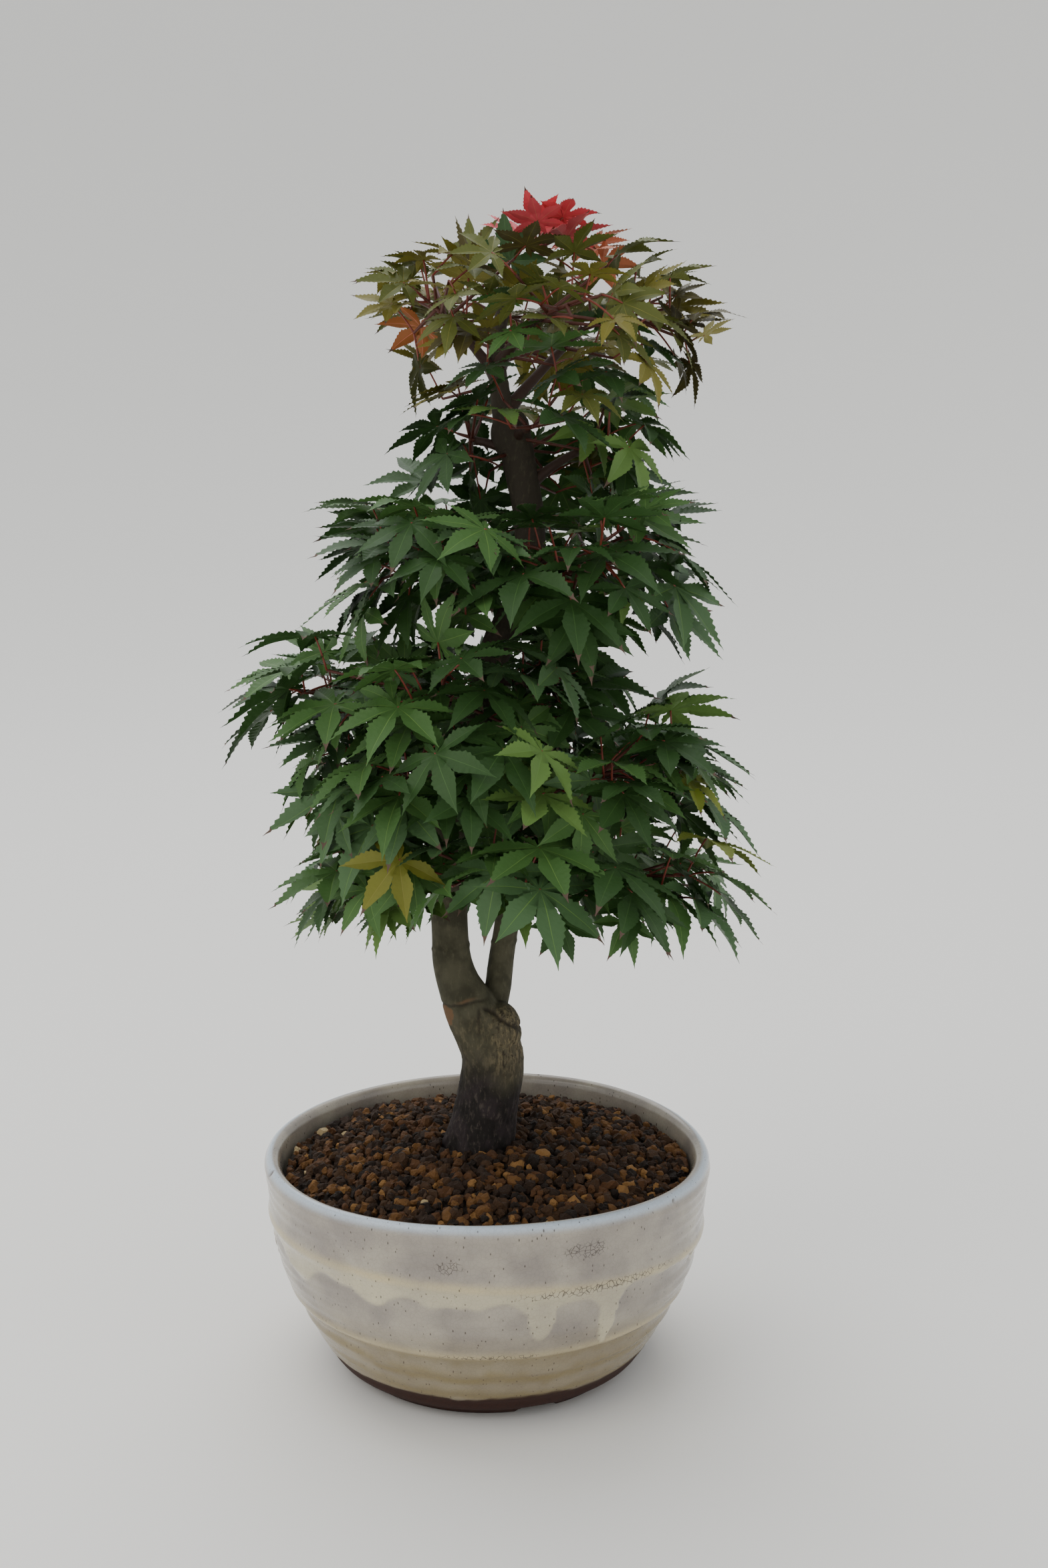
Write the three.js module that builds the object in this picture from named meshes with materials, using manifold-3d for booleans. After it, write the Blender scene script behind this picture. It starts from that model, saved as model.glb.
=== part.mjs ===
// A Japanese maple grown as a bonsai, standing in a round hand-thrown pot of glazed stoneware.
// The trunk forks low down. Its main stem bends left, right and left again up to a pruned head and a thin
// leader, a second stem leans to the right, and boughs carry masses of five-lobed leaves in seven tiers.
// Millimetres, +Z up. The origin is on the table under the centre of the pot, and the front faces -Y.
import * as THREE from "three";
import { mergeVertices } from "three/addons/utils/BufferGeometryUtils.js";
import Module from "manifold-3d";

const wasm = await Module();
wasm.setup();

// Driving dimensions
const TREE_HEIGHT = 450; // from the table to the topmost leaf tip
const GAP = 0.3; // clearance between neighbouring solids

const POT_RADIUS = 88;
const POT_HEIGHT = 85;
const RIM_WIDTH = 6.4;
const FOOT_RADIUS = 56;
const FOOT_WIDTH = 7; // of the foot ring's flat underside
const FOOT_DEPTH = 4; // from the foot ring's underside up to the pot's base
const FOOT_SLOPE = 3; // how much wider the ring is where it joins the base
const FLOOR_HEIGHT = 11; // of the pot's inner floor above the table
const FLOOR_RADIUS = 52;
const DRAIN_RADIUS = 9;

const SOIL_TOP = 85; // the top of the mound, where the trunk stands
const SOIL_EDGE = 77; // where the mound meets the pot's wall

const LEAF_SIZE = 30; // from the stalk's end to the tip of the middle lobe
const LEAF_THICKNESS = 0.62; // at the middle of a blade
const LEAF_CLEARANCE = 0.35; // between a leaf and anything else that it doesn't grow on

const UP = new THREE.Vector3(0, 0, 1);
const rad = THREE.MathUtils.degToRad;
const { lerp } = THREE.MathUtils;
const point = (x, y, z) => new THREE.Vector3(x, y, z);

// A seeded generator of numbers from 0 to 1, after Lehmer.
function seeded(seed) {
  let state = seed;
  return () => {
    state = (state * 48271) % 2147483647;
    return state / 2147483647;
  };
}

// From three.js geometry to a closed solid that can be cut and joined, and back.
function solidOf(geometry) {
  const bare = new THREE.BufferGeometry();
  bare.setAttribute("position", geometry.getAttribute("position"));
  bare.setIndex(geometry.index);
  const merged = mergeVertices(bare, 1e-4);
  return new wasm.Manifold(
    new wasm.Mesh({
      numProp: 3,
      vertProperties: merged.attributes.position.array,
      triVerts: new Uint32Array(merged.index.array),
    }),
  );
}

function geometryOf(solid) {
  const mesh = solid.getMesh();
  const geometry = new THREE.BufferGeometry();
  geometry.setAttribute("position", new THREE.BufferAttribute(mesh.vertProperties, mesh.numProp));
  geometry.setIndex(new THREE.BufferAttribute(mesh.triVerts, 1));
  geometry.computeVertexNormals();
  return geometry;
}

// A skin that grows ring by ring. A ring is a list of point numbers that turns left about the way it grows.
class Skin {
  points = [];
  faces = [];

  addPoints(points) {
    const first = this.points.length;
    this.points.push(...points);
    return points.map((_, i) => first + i);
  }

  addRing(middle, along, side, radiusAt, sides) {
    const across = along.clone().cross(side);
    return this.addPoints(
      Array.from({ length: sides }, (_, j) => {
        const angle = (2 * Math.PI * (j - 0.5)) / sides;
        const radius = radiusAt(angle);
        return middle
          .clone()
          .addScaledVector(side, radius * Math.cos(angle))
          .addScaledVector(across, radius * Math.sin(angle));
      }),
    );
  }

  addWall([a, b, c, d]) {
    this.faces.push([a, b, c], [a, c, d]);
  }

  bridge(from, to) {
    from.forEach((a, j) => {
      const next = (j + 1) % from.length;
      this.addWall([a, from[next], to[next], to[j]]);
    });
  }

  closeStart(ring) {
    for (let j = 1; j + 1 < ring.length; j++) this.faces.push([ring[0], ring[j + 1], ring[j]]);
  }

  closeEnd(ring) {
    this.closeStart([...ring].reverse());
  }

  toSolid() {
    const geometry = new THREE.BufferGeometry();
    const places = this.points.flatMap((p) => p.toArray());
    geometry.setAttribute("position", new THREE.Float32BufferAttribute(places, 3));
    geometry.setIndex(this.faces.flat());
    return solidOf(geometry);
  }
}

// A tapering limb along a curve, whose rings turn no more than the curve does.
function limb(curve, radiusAt, sides, steps) {
  const skin = new Skin();
  let side = point(1, 0, 0);
  let last = null;
  for (let i = 0; i <= steps; i++) {
    const t = i / steps;
    const along = curve.getTangent(t);
    side = side.clone().addScaledVector(along, -side.dot(along)).normalize();
    const ring = skin.addRing(curve.getPoint(t), along, side, (angle) => radiusAt(t, angle), sides);
    if (last) skin.bridge(last, ring);
    else skin.closeStart(ring);
    last = ring;
  }
  skin.closeEnd(last);
  return skin.toSolid();
}

// The pot: a thrown wall with two soft steps and an uneven rim, on a foot ring with three arches cut in it.
const POT_SIDES = 40;
const OUTER_WALL = [
  // radius and height, from the foot ring over the two steps to the lip
  [FOOT_RADIUS, 0],
  [FOOT_RADIUS + 1, 2.5],
  [62.3, 5],
  [68.4, 14.5],
  [75.7, 30],
  [79, 34],
  [80.1, 38.5],
  [83.1, 47],
  [84, 53.5],
  [86.6, 59],
  [86, 63],
  [86.9, 74],
  [POT_RADIUS, 81],
  [POT_RADIUS - 1.6, POT_HEIGHT],
];
const STEP_SLANT = { rise: 5, highest: -140 }; // of the upper step, towards that azimuth
const FOOT_ARCHES = [-70, 50, 170]; // degrees from +X, the first to the right of the front
const ARCH_WIDTH = 16;
const ARCH_HEIGHT = 3.2;

// The pot's inner radius at a height: a bowl that stands nearly upright at the rim.
function innerRadius(height) {
  const share = (height - FLOOR_HEIGHT) / (POT_HEIGHT - FLOOR_HEIGHT);
  return lerp(FLOOR_RADIUS, POT_RADIUS - RIM_WIDTH, Math.sin((Math.PI / 2) * share));
}

// How far the rim stands above or below its mean height, going round.
const rimWave = (angle) => 0.9 * Math.sin(2 * angle + 0.6) + 0.5 * Math.sin(3 * angle + 2.2);
const RIM_WAVE_DEPTH = 40; // how far down the wall the wave is felt

function pot() {
  const inside = [POT_HEIGHT - 1, 60, 36, 20, FLOOR_HEIGHT].map((height) => [innerRadius(height), height]);
  const underside = [
    [DRAIN_RADIUS, FLOOR_HEIGHT],
    [DRAIN_RADIUS, FOOT_DEPTH],
    [FOOT_RADIUS - FOOT_WIDTH - FOOT_SLOPE, FOOT_DEPTH],
    [FOOT_RADIUS - FOOT_WIDTH, 0],
    [FOOT_RADIUS, 0],
  ];
  const profile = [...OUTER_WALL, ...inside, ...underside].map(([r, height]) => new THREE.Vector2(r, height));
  const lathe = new THREE.LatheGeometry(profile, POT_SIDES).rotateX(Math.PI / 2);
  const places = lathe.getAttribute("position");
  for (let i = 0; i < places.count; i++) {
    const [x, y, height] = [places.getX(i), places.getY(i), places.getZ(i)];
    const angle = Math.atan2(y, x);
    const rim = THREE.MathUtils.smoothstep(height, POT_HEIGHT - RIM_WAVE_DEPTH, POT_HEIGHT);
    const onStep = height > 50 && height < 70 && Math.hypot(x, y) > innerRadius(height) + RIM_WIDTH / 2;
    const slant = onStep ? STEP_SLANT.rise * Math.cos(angle - rad(STEP_SLANT.highest)) : 0;
    places.setZ(i, height + rim * rimWave(angle) + slant);
  }
  return solidOf(lathe).subtract(wasm.Manifold.union(FOOT_ARCHES.map(footArch)));
}

function footArch(azimuth) {
  const outline = new THREE.Shape();
  outline.moveTo(-ARCH_WIDTH / 2, -1);
  outline.lineTo(ARCH_WIDTH / 2, -1);
  outline.lineTo(ARCH_WIDTH / 2, 0);
  outline.quadraticCurveTo(ARCH_WIDTH / 3, ARCH_HEIGHT, 0, ARCH_HEIGHT);
  outline.quadraticCurveTo(-ARCH_WIDTH / 3, ARCH_HEIGHT, -ARCH_WIDTH / 2, 0);
  const depth = FOOT_WIDTH + 3 * FOOT_SLOPE; // right through the ring
  const cutter = new THREE.ExtrudeGeometry(outline, { depth, bevelEnabled: false, curveSegments: 3 })
    .rotateX(Math.PI / 2)
    .rotateZ(Math.PI / 2)
    .translate(FOOT_RADIUS - FOOT_WIDTH - FOOT_SLOPE - GAP, 0, 0)
    .rotateZ(rad(azimuth));
  return solidOf(cutter);
}

// The soil fills the pot, up to a low mound around the trunk. Its granules lie in lumps, one at each point of
// the mound's slope.
const MOUND = [
  // radius and height
  [65, SOIL_EDGE + 3],
  [51, SOIL_EDGE + 4.8],
  [37, SOIL_EDGE + 6.4],
];
const MOUND_TOP = 22; // the radius of the level ground that the trunk stands on
const LUMP_HEIGHT = 1.8;
const LUMP_SEED = 5;

function soil() {
  const floor = FLOOR_HEIGHT + GAP;
  const wall = [floor, 20, 36, 60, SOIL_EDGE].map((height) => [innerRadius(height) - 4 * GAP, height]);
  const outline = [[0, floor], ...wall, ...MOUND, [MOUND_TOP, SOIL_TOP], [0, SOIL_TOP]];
  const profile = outline.map(([r, height]) => new THREE.Vector2(r, height));
  const columns = POT_SIDES / 2;
  const lathe = new THREE.LatheGeometry(profile, columns).rotateX(Math.PI / 2);
  const places = lathe.getAttribute("position");
  const next = seeded(LUMP_SEED);
  for (let column = 0; column < columns; column++) {
    MOUND.forEach((_, ring) => {
      const lump = LUMP_HEIGHT * (next() - 0.5);
      // The lathe's first column of points comes again as its last.
      for (const turn of column === 0 ? [0, columns] : [column]) {
        const i = turn * profile.length + 1 + wall.length + ring;
        places.setZ(i, places.getZ(i) + lump);
      }
    });
  }
  return solidOf(lathe);
}

// The stems. Each station is a height with the stem's middle, x and y, and its radius there.
const MAIN_STEM = [
  [SOIL_TOP - 6, -4.4, 0, 14.6],
  [SOIL_TOP + 14, -0.6, 0, 12.6],
  [121, 2, 0, 12],
  [139, -6, 0, 10.2],
  [158, -13.4, 0.5, 7.4],
  [188, -14.8, 2, 6.9],
  [221, -14.2, 4, 7],
  [246, -4.4, 1, 6.3],
  [276, 1.6, 1, 6],
  [304, 15, 2, 6],
  [328, 16.6, 1, 5.6],
  [350, 13, 0, 6],
  [366, 9.8, 0, 7.6],
];
const SECOND_STEM = [
  [134, 1.5, 7, 5],
  [172, 6.3, 8, 4.5],
  [204, 12, 6, 4],
  [246, 26, 3, 2.6],
];
const LEADER = [
  [360, 8.4, 0, 3.6],
  [384, 4.8, 0, 2.9],
  [402, 5.6, 0.5, 2.5],
  [424, 13, 1, 1.8],
];
const STUB = [
  // the pruned bough on the left, cut off square
  [214, -15, 4, 4.6],
  [231, -35.5, 2, 3.8],
];
const SHOULDER = { middle: [4.6, -0.5, 131.5], radii: [9, 10.5, 12.4] }; // the healed cut below the fork
const BUTTRESS = { height: 16, depth: 0.1, count: 4 }; // the root flare at the trunk's foot

const stemCurve = (stations) =>
  new THREE.CatmullRomCurve3(stations.map(([height, x, y]) => point(x, y, height)), false, "centripetal");

function stationRadius(stations, t) {
  const place = t * (stations.length - 1);
  const i = Math.min(stations.length - 2, Math.floor(place));
  return lerp(stations[i][3], stations[i + 1][3], place - i);
}

function stem(stations, extra, sides, steps) {
  return limb(stemCurve(stations), (t) => stationRadius(stations, t) + extra, sides, steps);
}

function mainStem(extra) {
  const curve = stemCurve(MAIN_STEM);
  const radiusAt = (t, angle) => {
    const flare = Math.exp(-Math.max(0, curve.getPoint(t).z - SOIL_TOP) / BUTTRESS.height);
    const swell = 1 + BUTTRESS.depth * flare * Math.cos(BUTTRESS.count * angle);
    return stationRadius(MAIN_STEM, t) * swell + extra;
  };
  const shoulder = new THREE.SphereGeometry(1, 12, 8)
    .rotateX(Math.PI / 2)
    .scale(...SHOULDER.radii.map((radius) => radius + extra))
    .translate(...SHOULDER.middle);
  return limb(curve, radiusAt, 12, 27)
    .add(solidOf(shoulder))
    .add(stem(LEADER, extra, 8, 8))
    .trimByPlane([0, 0, 1], SOIL_TOP + GAP - extra);
}

// The middle of a stem at a height.
function stemAt(stations, height) {
  const places = stations.map(([z, x, y]) => point(x, y, z));
  const above = places.slice(1, -1).findIndex((place) => place.z > height);
  const i = above < 0 ? places.length - 2 : above;
  return places[i].clone().lerp(places[i + 1], (height - places[i].z) / (places[i + 1].z - places[i].z));
}

// The crown, tier by tier. A tier's leaves come out to its reach around its middle, which is an x on the
// trunk's own plane. Its twigs end within its band above and below its level, which rises by its lift towards
// the front. Its first mass lies at the azimuth "turn", and the boughs spring from about the height "from".
const TIERS = [
  { name: "skirt", masses: 5, turn: -18, middle: 14, reach: 102, level: 197, band: 13, lift: 8, from: 186 },
  { name: "lower", masses: 5, turn: 18, middle: 9, reach: 100, level: 236, band: 14, lift: 2, from: 222 },
  { name: "middle", masses: 4, turn: 84, middle: -20, reach: 87, level: 271, band: 12, lift: 0, from: 260 },
  { name: "upper", masses: 4, turn: 35, middle: 12, reach: 86, level: 321, band: 13, lift: -5, from: 303 },
  { name: "neck", masses: 4, turn: 4, middle: 24, reach: 70, level: 366, band: 13, lift: 2, from: 350 },
  { name: "crown", masses: 4, turn: 20, middle: 25, reach: 80, level: 411, band: 12, lift: -6, from: 378 },
  { name: "tuft", masses: 1, turn: -100, middle: 26, reach: 51, level: 445, band: 4, lift: 0, from: 424 },
];
const LOWEST_LEAF = { height: 163, rise: 0.12 }; // over the trunk's foot, and how it rises towards the front
const CROWN_TOP = { x: 27, fall: 0.004 }; // where the crown is highest, and its fall with distance squared

// From the skirt to the tuft the leaves hang less and lie flatter.
const hanging = (height) => THREE.MathUtils.mapLinear(height, TIERS[0].level, TREE_HEIGHT, 1, 0);
const DROOP = { low: 0.75, high: 0.05 };
const LEAN = { low: 0.9, high: 0.15 };

const BOUGH = {
  startRadius: 1.9,
  endRadius: 1.4,
  arch: 2.5, // how far the middle of its way is lifted
  stagger: 6, // from one bough's foot to the next along the stem
  reach: 0.32, // how far out to the tier's reach it ends
  climb: 0.7, // how much of the height to the tier it has gained there
};
const RIGHTWARD = 0.25; // cosine of the azimuth up to which a low mass grows on the second stem

const STEM_RADIUS = { start: 0.95, end: 0.85 };
const TWIG_RADIUS = { start: 0.75, end: 0.55 };
const JOINT_LENGTH = 1.4; // of the joint from which a pair of leaves or twigs springs
const HEART_SHARE = 0.45; // how far out to its leaves a mass's own stem goes
const SETBACK = { least: 1.1, mean: 1.2, most: 1.3 }; // of a twig's tip behind the reach, in leaf sizes
const SCATTER = { turn: 0.1, height: 0.4, roll: 30 }; // of the twigs, in shares of the mass and in degrees

const STALK = { short: 9, long: 15, spread: 58, rise: 0.35 };
const LAST_STALK = { length: 5, rise: 0.2 }; // of the leaf at a twig's tip
const MIDRIB = { stalk: 0.7, out: 0.6 }; // how much a midrib follows its stalk and the way out
const TUMBLE = 0.7; // how unevenly the blades face
const BLADE_TURN = 0.2; // cosine of the widest turn from a stalk to its midrib
const SPILL = 3; // degrees by which a mass's leaves may stand in the next one's share
const ROUNDING = 0.01;

// The name of the side on which a mass lies.
const SIDES = ["right", "back_right", "back", "back_left", "left", "front_left", "front", "front_right"];
const sideName = (azimuth) => SIDES[Math.round((azimuth % 360) / 45) % 8];

// A shoot is a straight twig with pairs of shoots or leaves at its joints and one at its tip.
function shoot(from, to, radius, side) {
  const along = to.clone().sub(from).normalize();
  const level = side.clone().addScaledVector(along, -side.dot(along)).normalize();
  return { from, to, along, side: level, radius, joints: [], tip: null, kept: true };
}

const jointSide = (parent, face) => parent.side.clone().applyAxisAngle(parent.along, (face * Math.PI) / 2);

// A place in a tier: its azimuth and radius about the middle, and its height as a share of the tier's band.
function placeIn(tier, azimuth, radius, height) {
  const angle = rad(azimuth);
  return point(
    tier.middle + radius * Math.cos(angle),
    radius * Math.sin(angle),
    tier.level + tier.band * height - tier.lift * Math.sin(angle),
  );
}

const outOf = (tier, place) => point(place.x - tier.middle, place.y, 0).normalize();
const radiusIn = (tier, place) => Math.hypot(place.x - tier.middle, place.y);

// A leaf on a stalk: its blade's middle, the way its midrib runs and its upper face's normal.
function leaf(tier, root, way, length, size, next) {
  const stalk = way.clone().normalize();
  const middle = root.clone().addScaledVector(stalk, length);
  const out = outOf(tier, middle);
  const hang = hanging(middle.z);
  const midrib = stalk
    .clone()
    .multiplyScalar(MIDRIB.stalk)
    .addScaledVector(out, MIDRIB.out)
    .addScaledVector(UP, -lerp(DROOP.high, DROOP.low, hang) * lerp(0.5, 1.5, next()))
    .normalize();
  const normal = UP.clone()
    .addScaledVector(out, lerp(LEAN.high, LEAN.low, hang) * lerp(0.6, 1.3, next()))
    .add(point(next() - 0.5, next() - 0.5, next() - 0.5).multiplyScalar(TUMBLE));
  normal.addScaledVector(midrib, -normal.dot(midrib)).normalize();
  const grown = size * lerp(0.85, 1.12, next());
  return { root, stalk, middle, midrib, normal, size: grown, isLeaf: true, kept: false };
}

// Two pairs of leaves, the outer one level and the inner one upright, and one leaf at the tip.
const LEAF_PAIRS = [
  { share: 0.55, faces: [1, 3], scale: 0.85 },
  { share: 0.93, faces: [0, 2], scale: 0.95 },
];

function leafyTwig(tier, from, to, next) {
  const twig = shoot(from, to, TWIG_RADIUS, point(-(to.y - from.y), to.x - from.x, 0));
  twig.side.applyAxisAngle(twig.along, rad(SCATTER.roll * (next() - 0.5)));
  for (const { share, faces, scale } of LEAF_PAIRS) {
    const root = from.clone().lerp(to, share);
    const children = faces.map((face) => {
      const spread = rad(STALK.spread * lerp(0.8, 1.2, next()));
      const way = twig.along
        .clone()
        .multiplyScalar(Math.cos(spread))
        .addScaledVector(jointSide(twig, face), Math.sin(spread))
        .addScaledVector(UP, STALK.rise);
      const length = lerp(STALK.short, STALK.long, next());
      return { face, child: leaf(tier, root, way, length, LEAF_SIZE * scale, next) };
    });
    twig.joints.push({ share, children });
  }
  const onward = twig.along.clone().addScaledVector(UP, LAST_STALK.rise);
  twig.tip = leaf(tier, to, onward, LAST_STALK.length, LEAF_SIZE, next);
  return twig;
}

// A mass: a stem that forks into a pair of twigs at each of two joints, and a fifth twig at its tip.
const TWIG_FAN = [
  { share: 0.45, turn: 0.84, height: -0.6 },
  { share: 0.9, turn: 0.42, height: 0.7 },
];

function growMass({ tier, azimuth, halfAngle, root, seed }) {
  const next = seeded(seed);
  const target = (turn, height) =>
    placeIn(
      tier,
      azimuth + halfAngle * (turn + SCATTER.turn * (next() - 0.5)),
      tier.reach - LEAF_SIZE * lerp(SETBACK.least, SETBACK.most, next()),
      height + SCATTER.height * (next() - 0.5),
    );
  const ahead = placeIn(tier, azimuth, tier.reach - LEAF_SIZE * SETBACK.mean, 0);
  const heart = root.clone().lerp(ahead, HEART_SHARE);
  const mass = shoot(root, heart, STEM_RADIUS, point(-(heart.y - root.y), heart.x - root.x, 0));
  for (const { share, turn, height } of TWIG_FAN) {
    const from = root.clone().lerp(heart, share);
    const children = [0, 2].map((face) => {
      const sign = face ? -1 : 1;
      return { face, child: leafyTwig(tier, from, target(sign * turn, height * sign), next) };
    });
    mass.joints.push({ share, children });
  }
  mass.tip = leafyTwig(tier, heart, target(0, 0), next);
  reachOut(tier, mass.tip.tip);
  return mass;
}
const LEAVES_PER_TWIG = 2 * LEAF_PAIRS.length + 1;
const LEAVES_PER_MASS = (2 * TWIG_FAN.length + 1) * LEAVES_PER_TWIG;

// The leading leaf of a mass is set forward or back until its tip lies on the tier's circle.
function reachOut(tier, leading) {
  const [tip] = lobeTips(leading);
  leading.middle.addScaledVector(outOf(tier, tip), tier.reach - radiusIn(tier, tip));
}

function childrenOf({ joints, tip }) {
  return [...joints.flatMap(({ children }) => children.map(({ child }) => child)), tip];
}

// A leaf's lobes: angle from the midrib in degrees, and length as a share of the leaf's size.
const LOBES = [
  [0, 1],
  [44, 0.92],
  [92, 0.7],
];
const NOTCH = 0.4; // how far out the cuts between the lobes begin
const BLADE_FOOT = [150, 0.1]; // the corner beside the stalk
const TIP_DROP = 0.2; // how far a lobe's tip hangs below the blade's middle
const STALK_RADIUS = 0.5;

function onBlade({ middle, midrib, normal, size }, angle, reach) {
  const side = normal.clone().cross(midrib);
  return middle
    .clone()
    .addScaledVector(midrib, reach * Math.cos(rad(angle)))
    .addScaledVector(side, reach * Math.sin(rad(angle)))
    .addScaledVector(normal, (-TIP_DROP * reach * reach) / size);
}

const lobeTips = (one) =>
  LOBES.flatMap(([angle, share]) => [angle, -angle].map((turned) => onBlade(one, turned, share * one.size)));

// A blade is a thin five-pointed star, thickest in the middle, and its tail is the stalk back to a ring.
function addLeaf(skin, ring, one, grow) {
  const half = [];
  LOBES.forEach(([angle, share], i) => {
    if (i) half.push([(angle + LOBES[i - 1][0]) / 2, NOTCH * one.size + grow]);
    half.push([angle, share * one.size + grow]);
  });
  half.push([BLADE_FOOT[0], BLADE_FOOT[1] * one.size + grow]);
  const mirrored = half.slice(1).reverse().map(([angle, reach]) => [-angle, reach]);
  const outline = skin.addPoints([...mirrored, ...half].map(([angle, reach]) => onBlade(one, angle, reach)));
  const offCentre = LEAF_THICKNESS / 2 + grow;
  const [top, under] = skin.addPoints(
    [offCentre, -offCentre].map((offset) => one.middle.clone().addScaledVector(one.normal, offset)),
  );
  for (let i = 0; i + 1 < outline.length; i++)
    skin.faces.push([top, outline[i], outline[i + 1]], [under, outline[i + 1], outline[i]]);
  const mouth = [top, outline[0], under, outline.at(-1)];
  skin.bridge(ring, nearestTurn(skin, ring, mouth));
}

// The ring of points turned so that each lies nearest to its fellow in the first ring.
function nearestTurn(skin, ring, other) {
  const turns = ring.map((_, k) => other.map((_, j) => other[(j + k) % other.length]));
  const stretch = (turn) =>
    ring.reduce((sum, a, j) => sum + skin.points[a].distanceToSquared(skin.points[turn[j]]), 0);
  return turns.reduce((best, turn) => (stretch(turn) < stretch(best) ? turn : best));
}

// The skin of a shoot, grown from the ring that its parent leaves open for it.
function addShoot(skin, ring, parent) {
  const { from, to, along, side, radius } = parent;
  const length = from.distanceTo(to);
  const ringAt = (distance) =>
    skin.addRing(
      from.clone().addScaledVector(along, distance),
      along,
      side,
      () => lerp(radius.start, radius.end, distance / length) * Math.SQRT2,
      4,
    );
  let last = ring;
  for (const { share, children } of parent.joints) {
    const start = ringAt(share * length - JOINT_LENGTH / 2);
    skin.bridge(nearestTurn(skin, start, last), start);
    const end = ringAt(share * length + JOINT_LENGTH / 2);
    for (let face = 0; face < 4; face++) {
      const next = (face + 1) % 4;
      const hole = [start[face], start[next], end[next], end[face]];
      const found = children.find((other) => other.face === face && other.child.kept);
      if (found) addChild(skin, hole, found.child);
      else skin.addWall(hole);
    }
    last = end;
  }
  if (parent.tip.kept) addChild(skin, last, parent.tip);
  else skin.closeEnd(last);
}

function addChild(skin, hole, child) {
  if (child.isLeaf) addLeaf(skin, hole, child, 0);
  else addShoot(skin, hole, child);
}

// The skin of a mass starts on a ring that faces its bough's end.
function massSolid({ grown, way }) {
  const skin = new Skin();
  const side = grown.side.clone().addScaledVector(way, -grown.side.dot(way)).normalize();
  const foot = skin.addRing(grown.from, way, side, () => STEM_RADIUS.start * Math.SQRT2, 4);
  skin.closeStart(foot);
  addShoot(skin, foot, grown);
  return skin.toSolid();
}

// What a leaf or a twig takes up by itself, with some room around it. Room is left out near its own joint.
function leafSpace(one, grow) {
  const skin = new Skin();
  const across = one.normal.clone().cross(one.stalk).normalize();
  const foot = one.root.clone().lerp(one.middle, grow ? 0.35 : 0.1);
  const ring = skin.addRing(foot, one.stalk, across, () => STALK_RADIUS + grow, 4);
  skin.closeStart(ring);
  addLeaf(skin, ring, one, grow);
  return skin.toSolid();
}

function twigSpace({ from, to, radius }, grow) {
  const line = new THREE.LineCurve3(from.clone().lerp(to, grow ? 0.1 : 0), to);
  return limb(line, (t) => Math.SQRT2 * lerp(radius.start, radius.end, t) + grow, 4, 1);
}

// What stands already, with its box, so that nothing grows into it.
const standing = [];

function stands(solid, owner) {
  standing.push({ solid, owner, box: solid.boundingBox() });
}

function isClear(space, owner) {
  const { min, max } = space.boundingBox();
  const misses = ({ box }) => [0, 1, 2].some((k) => min[k] > box.max[k] || max[k] < box.min[k]);
  return standing.every(
    (other) => (owner && other.owner === owner) || misses(other) || space.intersect(other.solid).isEmpty(),
  );
}

// A leaf keeps to its mass's own share of the tier, inside the reach, under the dome and above the bare trunk.
function isInSpace(one, { tier, azimuth, halfAngle }) {
  const straight = point(Math.cos(rad(azimuth)), Math.sin(rad(azimuth)), 0);
  const turned = outOf(tier, one.middle).angleTo(straight);
  const fits = (tip) =>
    radiusIn(tier, tip) < tier.reach + ROUNDING &&
    tip.z > LOWEST_LEAF.height - LOWEST_LEAF.rise * tip.y &&
    tip.z < TREE_HEIGHT - CROWN_TOP.fall * ((tip.x - CROWN_TOP.x) ** 2 + tip.y ** 2);
  const isStraight = one.stalk.dot(one.midrib) > BLADE_TURN;
  return turned < rad(halfAngle + SPILL) && isStraight && lobeTips(one).every(fits);
}

// Materials, by what each piece is made of
const finish = (color, roughness) => new THREE.MeshStandardMaterial({ color, roughness, metalness: 0 });
const MATERIALS = {
  glaze: finish("#c9c6be", 0.3),
  soil: finish("#4b2a17", 0.95),
  bark: finish("#6f6a55", 0.85),
  youngBark: finish("#4a2b24", 0.7),
  leaf: finish("#2f5a2c", 0.6),
  crown: finish("#7d7a2a", 0.6),
  tuft: finish("#a8443c", 0.6),
};

const bonsai = new THREE.Group();

function add(name, solid, material) {
  const mesh = new THREE.Mesh(geometryOf(solid), material);
  mesh.name = name;
  bonsai.add(mesh);
}

add("pot", pot(), MATERIALS.glaze);
add("soil", soil(), MATERIALS.soil);

const trunkSpace = mainStem(GAP);
const secondSpace = stem(SECOND_STEM, GAP, 8, 8);
add("trunk", mainStem(0), MATERIALS.bark);
add("second_stem", stem(SECOND_STEM, 0, 8, 8).subtract(trunkSpace), MATERIALS.bark);
add("pruned_stub", stem(STUB, 0, 8, 1).subtract(trunkSpace), MATERIALS.bark);
stands(trunkSpace, "trunk");
stands(secondSpace, "second_stem");
stands(stem(STUB, GAP, 8, 1), "pruned_stub");

// The stem that bears a bough, and the bough's way from there to its mass.
function bearingStem(azimuth, height) {
  if (height > MAIN_STEM.at(-1)[0]) return LEADER;
  return height < SECOND_STEM.at(-1)[0] && Math.cos(rad(azimuth)) > RIGHTWARD ? SECOND_STEM : MAIN_STEM;
}

function boughCurve(tier, azimuth, height) {
  const start = stemAt(bearingStem(azimuth, height), height);
  const edge = placeIn(tier, azimuth, tier.reach, 0);
  const end = start.clone().lerp(edge, BOUGH.reach);
  end.z = lerp(start.z, edge.z, BOUGH.climb);
  const bend = start.clone().lerp(end, 0.5).addScaledVector(UP, BOUGH.arch);
  return new THREE.QuadraticBezierCurve3(start, bend, end);
}

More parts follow.
